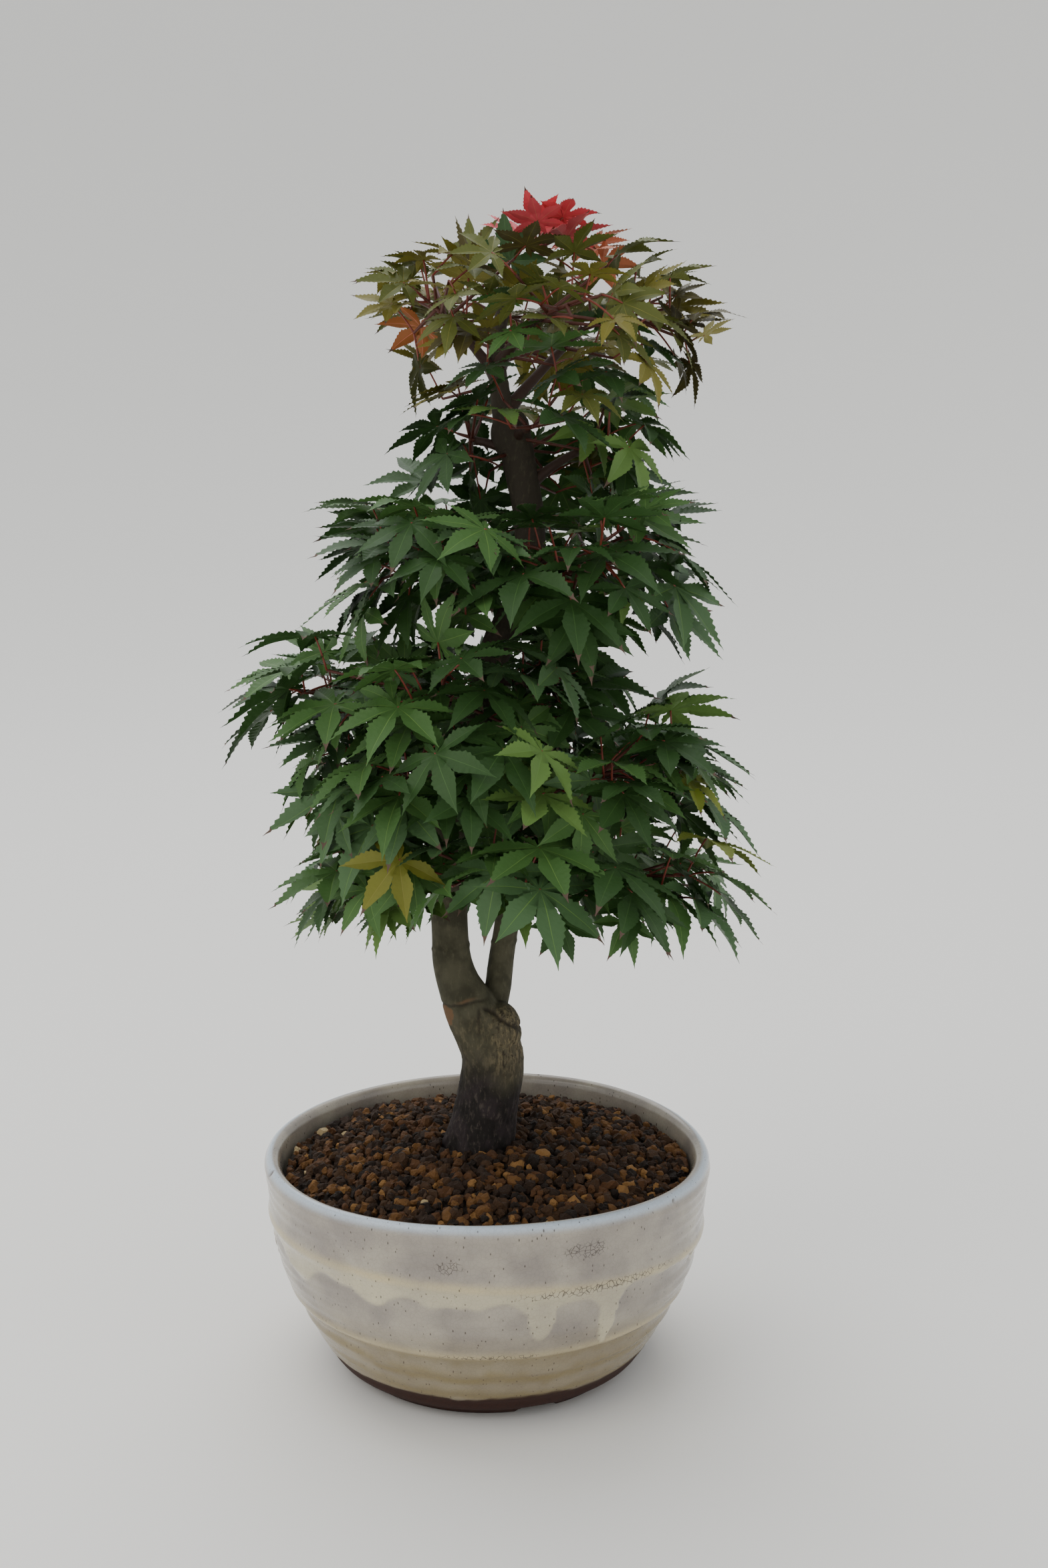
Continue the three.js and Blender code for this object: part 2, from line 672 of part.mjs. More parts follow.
// Where each mass lies. A tier of one mass grows straight on from the leader's tip, with no bough.
const masses = TIERS.flatMap((tier, storey) =>
  Array.from({ length: tier.masses }, (_, i) => {
    const azimuth = tier.turn + (360 * i) / tier.masses;
    const height = tier.from + BOUGH.stagger * (i - (tier.masses - 1) / 2);
    const onLeader = tier.masses === 1;
    const bearer = onLeader ? stemCurve(LEADER) : boughCurve(tier, azimuth, height);
    const way = bearer.getTangent(1);
    return {
      name: onLeader ? tier.name : `${tier.name}_${sideName(azimuth)}`,
      tier,
      azimuth,
      halfAngle: 180 / tier.masses,
      bough: onLeader ? null : bearer,
      way,
      root: bearer.getPoint(1).addScaledVector(way, GAP + 0.1),
      seed: 1000 * (storey + 1) + 37 * (i + 1),
    };
  }),
);

for (const { name, bough } of masses.filter((mass) => mass.bough)) {
  const made = (extra) => limb(bough, (t) => lerp(BOUGH.startRadius, BOUGH.endRadius, t) + extra, 6, 2);
  const pieces = made(0).subtract(trunkSpace).subtract(secondSpace).decompose();
  add(`bough_${name}`, pieces.sort((a, b) => b.volume() - a.volume())[0], MATERIALS.youngBark);
  stands(made(GAP), `bough_${name}`);
}

for (const mass of masses) {
  mass.grown = growMass(mass);
  stands(twigSpace(mass.grown, 0), mass.name);
}

for (const mass of masses) {
  for (const twig of childrenOf(mass.grown)) {
    twig.kept = isClear(twigSpace(twig, LEAF_CLEARANCE), mass.name);
    if (twig.kept) stands(twigSpace(twig, 0), mass.name);
  }
}

// Leaves are tried one from each mass in turn, leading leaves first, so that no mass crowds out the next.
// Where the full leaf would touch something, a smaller one is tried.
const TRIED_SIZES = [1, 0.8];
for (let i = LEAVES_PER_MASS - 1; i >= 0; i--) {
  for (const mass of masses) {
    const twig = childrenOf(mass.grown)[Math.floor(i / LEAVES_PER_TWIG)];
    const one = childrenOf(twig)[i % LEAVES_PER_TWIG];
    const fullSize = one.size;
    for (const share of TRIED_SIZES) {
      one.size = fullSize * share;
      one.kept = twig.kept && isInSpace(one, mass) && isClear(leafSpace(one, LEAF_CLEARANCE), null);
      if (one.kept) break;
    }
    if (one.kept) stands(leafSpace(one, 0), mass.name);
  }
}

// The highest leaf stands on a stalk just long enough to bring its tip to the tree's full height.
const highestPoint = (one) => leafSpace(one, 0).boundingBox().max[2];
const leaves = masses.flatMap((mass) => childrenOf(mass.grown).flatMap(childrenOf)).filter((one) => one.kept);
const topLeaf = leaves.reduce((best, one) => (highestPoint(one) > highestPoint(best) ? one : best));
topLeaf.middle.z += TREE_HEIGHT - highestPoint(topLeaf);

for (const mass of masses) {
  add(`leaves_${mass.name}`, massSolid(mass), MATERIALS[mass.tier.name] ?? MATERIALS.leaf);
}

export default bonsai;
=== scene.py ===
# A Japanese maple grown as a bonsai, in a round hand-thrown pot of glazed stoneware.
# The file follows the tree as it stands: pot, soil, trunk, boughs, twigs, leaves, and then the studio.
# Lengths are millimetres until a mesh is made. The origin is under the pot, and the front faces -Y.
import itertools
import math

import bpy
import numpy as np
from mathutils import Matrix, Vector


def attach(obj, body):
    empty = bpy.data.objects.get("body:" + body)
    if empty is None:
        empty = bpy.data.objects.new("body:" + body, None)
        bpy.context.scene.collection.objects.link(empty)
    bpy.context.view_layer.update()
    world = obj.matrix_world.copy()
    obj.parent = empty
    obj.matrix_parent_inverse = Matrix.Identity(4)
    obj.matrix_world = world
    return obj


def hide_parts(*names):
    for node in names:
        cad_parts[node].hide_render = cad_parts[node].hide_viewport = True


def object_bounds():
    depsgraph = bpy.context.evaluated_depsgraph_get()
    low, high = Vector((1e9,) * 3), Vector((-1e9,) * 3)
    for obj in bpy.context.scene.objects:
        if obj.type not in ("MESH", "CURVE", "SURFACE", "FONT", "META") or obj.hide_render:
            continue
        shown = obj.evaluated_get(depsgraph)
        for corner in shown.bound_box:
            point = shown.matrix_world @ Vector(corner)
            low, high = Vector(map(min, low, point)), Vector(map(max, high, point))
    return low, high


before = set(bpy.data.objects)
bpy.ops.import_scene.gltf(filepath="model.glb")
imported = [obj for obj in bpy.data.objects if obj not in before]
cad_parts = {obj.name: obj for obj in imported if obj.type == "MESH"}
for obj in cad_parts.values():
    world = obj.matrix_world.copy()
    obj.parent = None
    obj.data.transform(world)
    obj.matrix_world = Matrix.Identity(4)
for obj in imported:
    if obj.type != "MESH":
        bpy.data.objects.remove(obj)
cad_box = [list(corner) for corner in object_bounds()]


# The pot: grey stoneware thrown on a wheel, with soft steps where the hand rested, an uneven lip and a dent.
# It was dipped in a milky glaze that ran down in tongues, and its foot ring stayed bare and fired red-brown.
# Three arches are cut in the ring, and a round drainage hole in the floor.
MM = 0.001
POT_HEIGHT = 85
LIP_INSIDE = 81.6
FLOOR_HEIGHT = 11
FLOOR_RADIUS = 52
DRAIN_RADIUS = 9
BASE_HEIGHT = 4
FOOT_INSIDE = 49
WALL_OUTSIDE = [(56, 0), (57, 2.5), (62.3, 5), (68.4, 14.5), (75.8, 29), (82, 42), (84.7, 54), (86.9, 74)]
LIP = [(88, 81), (87.4, 83.7), (85.6, 85.2), (83.6, 85), (82, 83)]
POT_STEP = 1  # between the profile's points; past the lip every fourth is kept
POT_COLUMNS = 512
COARSE_COLUMNS = 96  # of the soil's bed and of the floor
RELIEF_STARTS = (4, 10)  # the heights between which the foot's plain side takes on relief
RIDGES = [(34, 0.9, 1.9), (29.5, -0.9, 2.8), (24.5, 0.5, 1.6)]  # height, how far out and width
FOOT_ARCHES = {"azimuths": (-70, 50, 170), "half_width": 8, "height": 3.2}
# Azimuth, drop and half width of each tongue of glaze, in degrees and millimetres
GLAZE_TONGUES = [(-119, 3, 5), (-100, 3, 6), (-75.5, 17, 3.6), (-57.5, 22, 2.7), (-20, 9, 4), (8, 5, 7)]
GLAZE_TONGUES += [(38, 19, 3), (71, 7, 6), (104, 24, 3.2), (121, 12, 3.8), (160, 6, 7), (187, 15, 3.4)]
GLAZE_TONGUES += [(215, 5, 6)]
# Azimuth, height and their half widths for each crazed patch
CRAZED = [(-60, 59, 26, 2.2), (-87, 34, 18, 1.4), (-65, 74, 7, 4), (-98, 70, 4, 3), (120, 60, 30, 3)]
CRAZED += [(60, 33, 30, 2)]
PIN_HOLES = [(-161, 83.6, 1.1), (-38, 83, 0.7), (75, 83.8, 1)]  # azimuth, height and radius
CLAY_EDGE = 11.8  # where the glaze stops above the foot
IRON_SPECKS = [(1.5, 0.45, 0.3), (4.5, 0.35, 0.42)]  # cell, the share of cells that hold one, and radius


def linear(colour):
    """A colour written as sRGB hex, as the linear values that a shader reads."""
    srgb = np.array([int(colour[i:i + 2], 16) for i in (1, 3, 5)]) / 255
    return (*np.where(srgb > 0.04045, ((srgb + 0.055) / 1.055) ** 2.4, srgb / 12.92).tolist(), 1.0)


def set_inputs(node, inputs):
    """Sets inputs of a shader node, each to a value or to the socket that feeds it."""
    for name, value in inputs.items():
        if isinstance(value, bpy.types.NodeSocket):
            node.id_data.links.new(value, node.inputs[name])
        else:
            node.inputs[name].default_value = value


def add_node(tree, kind, output, inputs, **settings):
    """Adds a shader node with its inputs and settings, and gives back one output, or all of them."""
    node = tree.nodes.new(f"ShaderNode{kind}")
    for name, value in settings.items():
        setattr(node, name, value)
    set_inputs(node, inputs)
    return node.outputs if output is None else node.outputs[output]


def new_material(name, inputs):
    """A material with a plain Principled shader: the material, its tree and the shader."""
    material = bpy.data.materials.new(name)
    material.use_nodes = True
    shader = material.node_tree.nodes["Principled BSDF"]
    set_inputs(shader, {"IOR": 1.45, **inputs})
    return material, material.node_tree, shader


def per_metre(size):
    """How many cells of a size in millimetres lie along a metre."""
    return 1 / (size * MM)


def smooth_step(low, high, value):
    """From 0 at low to 1 at high, level at both ends; low may be above high."""
    share = np.clip((value - low) / (high - low), 0, 1)
    return share * share * (3 - 2 * share)


def bell(value, middle, width):
    """A bump of height 1 that falls off on both sides of its middle."""
    return np.exp(-(((value - middle) / width) ** 2))


def noise(points, size, seed):
    """Smooth noise from -1 to 1. Each corner of a lattice with cells of the size gets a number scrambled from
    its place, and a point blends the eight corners around it."""
    place = points / size + 512.5
    cell = np.floor(place).astype(np.int64)
    share = place - cell
    share = share * share * (3 - 2 * share)
    total = np.zeros(points.shape[:-1])
    for corner in np.ndindex(2, 2, 2):
        key = (cell + corner) @ np.array([73856093, 19349663, 83492791]) + seed * 9176263
        key = (key ^ (key >> 13)) * 1274126177
        value = ((key ^ (key >> 16)) & 0xFFFF) / 0x7FFF - 1
        total += value * np.prod(np.where(corner, share, 1 - share), axis=-1)
    return total


def around(radius, angle, height):
    """Points from their distance to the axis, their angle and their height."""
    return np.stack(np.broadcast_arrays(radius * np.cos(angle), radius * np.sin(angle), height), axis=-1)


def grid_faces(rows, columns, closed_rows=False, closed_columns=False):
    """The quads between the points of a grid, row by row. Closed means that the last meets the first."""
    row, column = np.indices((rows - 1 + closed_rows, columns - 1 + closed_columns))
    above, beside = (row + 1) % rows, (column + 1) % columns
    corners = [(row, column), (row, beside), (above, beside), (above, column)]
    return np.stack([a * columns + b for a, b in corners], axis=-1).reshape(-1, 4)


def new_piece(name, points, faces, materials, slots=None, smooth=True, masks=None):
    """A mesh object from points in millimetres and lists of faces. Slots number each face's material, and
    masks are values at the points that a material reads."""
    mesh = bpy.data.meshes.new(name)
    corners = [face for part in faces for face in part.tolist()]
    mesh.from_pydata((points * MM).tolist(), [], corners)
    for material in materials:
        mesh.materials.append(material)
    if slots is not None:
        mesh.polygons.foreach_set("material_index", slots.astype(np.int32))
    mesh.polygons.foreach_set("use_smooth", np.full(len(mesh.polygons), smooth))
    for mask_name, mask in (masks or {}).items():
        values = mesh.attributes.new(mask_name, "FLOAT", "POINT").data
        values.foreach_set("value", mask.ravel().astype(np.float32))
    piece = bpy.data.objects.new(name, mesh)
    bpy.context.scene.collection.objects.link(piece)
    return piece


def resampled(corners, step):
    """A closed line through the corners, at even steps, with its corners worn round."""
    line = np.array(corners + corners[:1], dtype=float)
    along = np.concatenate([[0], np.cumsum(np.linalg.norm(np.diff(line, axis=0), axis=1))])
    places = np.linspace(0, along[-1], int(along[-1] / step), endpoint=False)
    line = np.stack([np.interp(places, along, line[:, k]) for k in range(2)], axis=1)
    for _ in range(2):
        line = 0.5 * line + 0.25 * (np.roll(line, 1, axis=0) + np.roll(line, -1, axis=0))
    return line


def inner_radius(height):
    """The pot's inside: a quarter sine from the floor's edge to the lip."""
    share = (height - FLOOR_HEIGHT) / (POT_HEIGHT - FLOOR_HEIGHT)
    return FLOOR_RADIUS + (LIP_INSIDE - FLOOR_RADIUS) * math.sin(math.pi / 2 * share)


def degrees_from(azimuth, middle):
    """The signed turn from a middle to an azimuth, from -180 to 180 degrees."""
    return (azimuth - middle + 180) % 360 - 180


def upper_step(azimuth):
    """The height of the upper throwing step, which climbs a little as it goes round."""
    return 59 + 5 * np.cos(np.radians(azimuth + 140))


def glaze_run(azimuth, height):
    """How thick the second coat of glaze lies: full below the upper step, down to an edge with tongues."""
    edge = 56.5 + 1.1 * np.sin(np.radians(13 * azimuth)) + 0.8 * np.sin(np.radians(29 * azimuth + 40))
    for middle, drop, half_width in GLAZE_TONGUES:
        across = np.abs(degrees_from(azimuth, middle)) / half_width
        edge = edge - drop * (0.55 * np.sqrt(np.clip(1 - across**2, 0, 1)) + 0.45 * bell(across, 0, 1.5))
    step = upper_step(azimuth)
    return smooth_step(edge - 0.7, edge + 1.3, height) * smooth_step(step + 1, step - 3, height)


def pin_holes(azimuth, height, radius):
    """The squared distance of each point from the middle of each pit, in the pit's radii."""
    return np.array([
        ((np.radians(degrees_from(azimuth, middle)) * radius) ** 2 + (height - level) ** 2) / size**2
        for middle, level, size in PIN_HOLES
    ])


def pot_surface():
    """The profile turned about the axis, with the steps, tongues, dent, pits, arches and the lip's waves
    added, as a grid of points, and the masks of its colours."""
    inside = [(inner_radius(height), height) for height in (78, 70, 60, 48, 36, 26, 18)]
    inside += [(FLOOR_RADIUS, FLOOR_HEIGHT), (DRAIN_RADIUS, FLOOR_HEIGHT)]
    underside = [(DRAIN_RADIUS, BASE_HEIGHT), (FOOT_INSIDE - 3, BASE_HEIGHT), (FOOT_INSIDE, 0)]
    profile = resampled(WALL_OUTSIDE + LIP + inside + underside, POT_STEP)
    station, crest = np.arange(len(profile)), np.argmax(profile[:, 1])
    profile = profile[(station < crest + 8) | (station % 4 == 0)]
    angle = np.linspace(0, 2 * math.pi, POT_COLUMNS, endpoint=False)
    height, angle = np.meshgrid(profile[:, 1], angle, indexing="ij")
    radius = np.repeat(profile[:, :1], POT_COLUMNS, axis=1)
    azimuth = np.degrees(angle)
    plain = around(radius, angle, height)
    outside = (np.arange(len(profile)) < crest)[:, None] & (height > RELIEF_STARTS[0])

    step = upper_step(azimuth)
    relief = bell(height, step, 3) - 0.8 * bell(height, step - 6, 3.5)
    relief += sum(out * bell(height, level, width) for level, out, width in RIDGES)
    relief += 0.14 * np.sin(2 * math.pi * (height / 4.6 + azimuth / 360))
    relief += 0.6 * glaze_run(azimuth, height)
    slant = height + 1.6 * degrees_from(azimuth, -131)
    relief -= 1.1 * bell(slant, 75, 5) * bell(height, 66, 9) * bell(degrees_from(azimuth, -126), 0, 9)
    relief += 0.7 * np.cos(2 * angle + 0.8) * smooth_step(20, 80, height)
    relief += 0.35 * noise(plain, 30, 3) + 0.1 * noise(plain, 8, 4)
    relief -= 0.8 * np.exp(-pin_holes(azimuth, height, radius)).sum(axis=0)
    radius = radius + np.where(outside, relief * smooth_step(*RELIEF_STARTS, height), 0)

    wave = 0.5 * np.sin(3 * angle - 1) - 0.9 * np.cos(2 * angle)
    lifted = height + wave * smooth_step(POT_HEIGHT - 40, POT_HEIGHT, height)
    arch = np.zeros_like(height)
    for middle in FOOT_ARCHES["azimuths"]:
        across = np.radians(degrees_from(azimuth, middle)) * radius / FOOT_ARCHES["half_width"]
        arch = np.maximum(arch, FOOT_ARCHES["height"] * np.sqrt(np.clip(1 - across**2, 0, 1)))
    on_ring = (height < FOOT_ARCHES["height"]) & (radius > FOOT_INSIDE - 4)
    lifted = np.where(on_ring, np.maximum(lifted, arch), lifted)
    ragged = noise(plain, 15, 6) + 0.5 * noise(plain, 4, 7)
    throwing = 0.68 + 0.18 * np.sin(2 * math.pi * (height / 9.2 + azimuth / 360) + 1.5 * ragged)
    edges = np.maximum(bell(height, step, 1.8), 0.75 * bell(height, 34, 1.6))
    crazed = [bell(degrees_from(azimuth, a), 0, wide) * bell(height, h, high) for a, h, wide, high in CRAZED]
    masks = {
        "low": smooth_step(47, 26, height) * throwing,
        "crest": edges * (0.8 + 0.3 * ragged),
        "run": (0.68 + 0.25 * ragged) * glaze_run(azimuth, height),
        # Painted reflection: the lip's top is tinted bluish white, partly the pale glaze and partly the sky
        # it reflects
        "lip": smooth_step(81.4, 84.2, height),
        "craze": np.max(crazed, axis=0),
        "pit": np.exp(-pin_holes(azimuth, height, radius) ** 2).max(axis=0),
        "bare": smooth_step(0.5, -0.5, height - CLAY_EDGE - 1.1 * ragged),
    }
    masks = {name: np.clip(mask, 0, 1) * (outside | (name == "bare")) for name, mask in masks.items()}
    return around(radius, angle, lifted), masks


def stoneware_glaze(names):
    """Milky feldspar glaze: glassy, lilac grey where thin, cream where it ran thick or broke over an edge,
    ochre low down, bluish white on the lip, partly pale glaze and partly a painted reflection of the sky,
    with iron specks, dark craze lines and a bare red-brown foot."""
    material, tree, shader = new_material("milky_stoneware_glaze", {"IOR": 1.5, "Specular IOR Level": 0.55})
    place = add_node(tree, "TexCoord", "Object", {})
    mask = {name: add_node(tree, "Attribute", "Fac", {}, attribute_name=name) for name in names}
    cloud = add_node(tree, "TexNoise", None, {"Vector": place, "Scale": per_metre(16), "Detail": 4})
    milky = {"Value": cloud["Fac"], "From Min": 0.35, "From Max": 0.65}
    milky = add_node(tree, "MapRange", "Result", milky)
    coats = [(milky, "#A69E90"), (mask["low"], "#7D6D42"), (mask["crest"], "#BFB08A")]
    # The lip's bluish white is partly a painted reflection of the sky
    coats += [(mask["run"], "#C9C0A2"), (mask["lip"], "#B9C4CF")]
    tall = add_node(tree, "Mapping", "Vector", {"Vector": place, "Scale": (1, 1, 0.45)})
    for cell, chance, radius in IRON_SPECKS:
        grains = add_node(tree, "TexVoronoi", None, {"Vector": tall, "Scale": per_metre(cell)})
        lot = add_node(tree, "SeparateColor", "Red", {"Color": grains["Color"]})
        chosen = add_node(tree, "Math", "Value", {0: lot, 1: 1 - chance}, operation="GREATER_THAN")
        speck = {"Value": grains["Distance"], "From Min": radius / cell, "From Max": 0.5 * radius / cell}
        speck = add_node(tree, "MapRange", "Result", {**speck, "To Max": 0.8})
        speck = add_node(tree, "Math", "Value", {0: chosen, 1: speck}, operation="MULTIPLY")
        coats.append((speck, "#372A20"))
    wander = {0: cloud["Color"], 1: (5 * MM,) * 3, 2: place}
    wander = add_node(tree, "VectorMath", "Vector", wander, operation="MULTIPLY_ADD")
    plates = {"Vector": wander, "Scale": per_metre(1.7)}
    plates = add_node(tree, "TexVoronoi", "Distance", plates, feature="DISTANCE_TO_EDGE")
    crack = add_node(tree, "MapRange", "Result", {"Value": plates, "From Min": 0.08, "From Max": 0.02})
    broken = add_node(tree, "TexNoise", "Fac", {"Vector": place, "Scale": per_metre(3), "Detail": 3})
    broken = add_node(tree, "Math", "Value", {0: mask["craze"], 1: broken}, operation="MULTIPLY")
    broken = {"Value": broken, "From Min": 0.22, "From Max": 0.36, "To Min": 0.1, "To Max": 0.85}
    broken = add_node(tree, "MapRange", "Result", broken)
    crack = add_node(tree, "Math", "Value", {0: crack, 1: broken}, operation="MULTIPLY")
    coats += [(crack, "#332923"), (mask["pit"], "#4A3120")]
    grit = add_node(tree, "TexNoise", "Fac", {"Vector": place, "Scale": per_metre(0.9), "Detail": 6})
    clay = {0: grit, 6: linear("#1B0A05"), 7: linear("#3E1E12")}
    colour = linear("#8D857D")
    for share, tint in coats:
        colour = add_node(tree, "Mix", 2, {0: share, 6: colour, 7: linear(tint)}, data_type="RGBA")
    skin = {0: mask["bare"], 6: colour, 7: add_node(tree, "Mix", 2, clay, data_type="RGBA")}
    depth = add_node(tree, "Math", "Value", {0: crack, 1: -0.6, 2: grit}, operation="MULTIPLY_ADD")
    set_inputs(shader, {
        "Base Color": add_node(tree, "Mix", 2, skin, data_type="RGBA"),
        "Roughness": add_node(tree, "MapRange", "Result", {"Value": mask["bare"], "To Min": 0.15}),
        "Normal": add_node(tree, "Bump", "Normal", {"Height": depth, "Strength": 0.25, "Distance": 0.2 * MM}),
    })
    return material


pot_grid, pot_masks = pot_surface()
pot_faces = grid_faces(*pot_grid.shape[:2], closed_rows=True, closed_columns=True)
glaze = stoneware_glaze(pot_masks)
pot = new_piece("pot_stoneware", pot_grid.reshape(-1, 3), [pot_faces], [glaze], masks=pot_masks)
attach(pot, "root")
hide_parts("pot")


# The soil: baked clay granules of 3 to 6 mm, brown and rust, a few tan or cream, on a mound of the same.
# They were poured around the trunk and settle lower at the wall. Each granule is a lumpy, worn crumb.
SOIL_TOP = 85
SOIL_RADIUS = 79.5
SOIL_FLOOR = FLOOR_HEIGHT + 0.5
FILL_GAP = 1.2
MOUND = [(0, SOIL_TOP), (22, SOIL_TOP), (38, 83.3), (60, 80.6), (SOIL_RADIUS, 77)]  # radius and height
GRANULE_PITCH = 3.7
GRANULE_SIZES = {1.35: 0.28, 1.7: 0.33, 2.1: 0.25, 2.6: 0.1, 3.1: 0.04}  # radius and share
TRUNK_FOOT = (-4.4, 0, 13.5)  # middle and radius where no granule lies
GRANULE_TINTS = ["#1C1006", "#2B1A0C", "#3C2611", "#503217", "#66441F", "#876134", "#A6926C"]
GRANULE_SHARES = [0.15, 0.24, 0.27, 0.2, 0.1, 0.03, 0.01]


def mound_height(radius):
    """The height of the soil at a radius."""
    return np.interp(radius, *np.array(MOUND).T)


def soil_bed():
    """A closed fill: the mound on top, the pot's inside below, with a grainy upper face."""
    top = [(radius, mound_height(radius) - 1.6) for radius in [0.5, *np.linspace(6, SOIL_RADIUS, 26)]]
    wall = [(inner_radius(height) - FILL_GAP, height) for height in (66, 50, 36, 22, SOIL_FLOOR)]
    profile = np.array(top + wall + [(0.5, SOIL_FLOOR)])
    angle = np.linspace(0, 2 * math.pi, COARSE_COLUMNS, endpoint=False)
    points = around(profile[:, :1], angle, profile[:, 1:])
    points[:len(top), :, 2] += 0.8 * noise(points, 2.4, 11)[:len(top)]
    rows, columns = points.shape[:2]
    lid = np.arange(columns)[None]
    faces = grid_faces(rows, columns, closed_columns=True)[:, ::-1]
    return points.reshape(-1, 3), [faces, lid, (lid + (rows - 1) * columns)[:, ::-1]]


def ball(cuts):
    """A ball of triangles: an icosahedron with each edge halved so many times, set on the sphere."""
    golden = (1 + math.sqrt(5)) / 2
    corners = [(a, b * golden, 0) for a in (-1, 1) for b in (-1, 1)]
    points = np.array([np.roll(corner, turn) for turn in range(3) for corner in corners], dtype=float)
    near = np.abs(np.linalg.norm(points[:, None] - points[None], axis=2) - 2) < 1e-6
    trios = [(i, j, k) for i in range(12) for j in range(i) for k in range(j)]
    faces = np.array([(i, j, k) for i, j, k in trios if near[i, j] and near[j, k] and near[i, k]])
    for _ in range(cuts):
        halves = [(points[faces[:, a]] + points[faces[:, b]]) / 2 for a, b in ((0, 1), (1, 2), (2, 0))]
        ab, bc, ca = len(points) + np.arange(len(faces) * 3).reshape(3, -1)
        points = np.concatenate([points, *halves])
        a, b, c = faces.T
        parts = [(a, ab, ca), (b, bc, ab), (c, ca, bc), (ab, bc, ca)]
        faces = np.concatenate([np.stack(trio, axis=1) for trio in parts])
    points /= np.linalg.norm(points, axis=1)[:, None]
    points, same = np.unique(points.round(6), axis=0, return_inverse=True)
    faces = same.ravel()[faces]
    a, b, c = points[faces.T]
    inward = np.einsum("ij,ij->i", np.cross(b - a, c - a), a) < 0
    faces[inward] = faces[inward][:, ::-1]
    return points, faces


def granules(random):
    """Crumbs on a shaken grid of rows: a ball each, stretched, lumped by noise and turned, a third sunk."""
    count = int(SOIL_RADIUS / GRANULE_PITCH) + 1
    column, row = np.meshgrid(np.arange(-count, count + 1), np.arange(-count * 1.2, count * 1.2 + 1))
    spots = np.stack([column + 0.5 * (row % 2), 0.866 * row], axis=-1).reshape(-1, 2) * GRANULE_PITCH
    on_top = np.arange(len(spots) + len(spots[::3])) >= len(spots)
    spots = np.concatenate([spots, spots[::3] + 0.5 * GRANULE_PITCH])
    spots += random.uniform(-0.42, 0.42, spots.shape) * GRANULE_PITCH
    size = random.choice(list(GRANULE_SIZES), len(spots), p=list(GRANULE_SIZES.values()))
    size *= random.uniform(0.9, 1.1, len(spots))
    off_trunk = np.hypot(*(spots - TRUNK_FOOT[:2]).T) > TRUNK_FOOT[2] + 0.4 * size
    kept = (np.hypot(*spots.T) < SOIL_RADIUS - 0.6 * size) & off_trunk
    spots, size, on_top = spots[kept], size[kept], on_top[kept]
    height = mound_height(np.hypot(*spots.T)) + 0.9 * on_top
    height += random.uniform(-0.8, 0.4, len(size)) - 0.3 * size

    points, faces = ball(1)
    shape = points * random.uniform(0.78, 1.22, (len(size), 1, 3))
    far_apart = shape + 50 * np.arange(len(size))[:, None, None]
    shape *= 1 + 0.55 * noise(far_apart, 0.62, 5)[..., None]
    for (i, j), angle in zip(((0, 1), (1, 2)), random.uniform(0, 2 * math.pi, (2, len(size), 1))):
        a, b = shape[..., i].copy(), shape[..., j].copy()
        shape[..., i] = a * np.cos(angle) - b * np.sin(angle)
        shape[..., j] = a * np.sin(angle) + b * np.cos(angle)
    shape = shape * size[:, None, None] + np.column_stack([spots, height])[:, None]
    all_faces = faces + len(points) * np.arange(len(size))[:, None, None]
    tint = random.choice(len(GRANULE_TINTS), len(size), p=GRANULE_SHARES)
    return shape.reshape(-1, 3), all_faces.reshape(-1, 3), np.repeat(tint, len(faces))


def pored_skin(name, tint, pore, detail, strength, depth, rough):
    """A plain colour whose pores, of a size in millimetres, give relief and an uneven shine."""
    material, tree, shader = new_material(name, {"Base Color": linear(tint)})
    place = add_node(tree, "TexCoord", "Object", {})
    pores = {"Vector": place, "Scale": per_metre(pore), "Detail": detail}
    pores = add_node(tree, "TexNoise", "Fac", pores)
    bump = {"Height": pores, "Strength": strength, "Distance": depth * MM}
    shine = {"Value": pores, "To Min": rough[0], "To Max": rough[1]}
    set_inputs(shader, {
        "Normal": add_node(tree, "Bump", "Normal", bump),
        "Roughness": add_node(tree, "MapRange", "Result", shine),
    })
    return material


# Baked volcanic clay: dull and pitted, with pores just under a millimetre apart
clays = [
    pored_skin(f"baked_clay_{i}", tint, pore=0.8, detail=5, strength=0.9, depth=0.6, rough=(0.75, 1))
    for i, tint in enumerate(GRANULE_TINTS)
]
# The bed under the granules takes the darkest tint: painted shade in the gaps between them
bed = new_piece("soil_bed", *soil_bed(), clays[:1])
crumb_points, crumb_faces, crumb_tints = granules(np.random.default_rng(7))
crumbs = new_piece("soil_granules", crumb_points, [crumb_faces], clays, crumb_tints, smooth=False)
for piece in (bed, crumbs):
    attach(piece, "root")
    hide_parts("soil")


# The trunk: old maple wood, near black and fissured where it leaves the soil, with a wrinkled tan callus
# where a stem was once cut. Above the fork both stems are younger, smooth and grey-brown.
# The limbs are carried along curves and melted into one skin, and the bark's relief is pressed into that.
MAIN_STEM = [  # height, x, y and radius
    (79, -4.4, 0, 13.8), (99, -0.6, 0, 12.2), (121, 2, 0, 12), (139, -6, 0, 10.2), (158, -13.4, 0.5, 7.5),
    (188, -14.8, 2, 6.9), (221, -14.2, 4, 7), (246, -4.4, 1, 6.3), (276, 1.6, 1, 6), (304, 15, 2, 6),
    (328, 16.6, 1, 5.6), (350, 13, 0, 6), (366, 9.8, 0, 6.4),
]
SECOND_STEM = [(128, 0.5, 5, 5.4), (144, 3.6, 7, 5.2), (160, 5.7, 7.6, 4.8), (180, 8.8, 8, 4.6)]
SECOND_STEM += [(204, 12.8, 6, 4.2), (246, 26, 3, 2.8)]
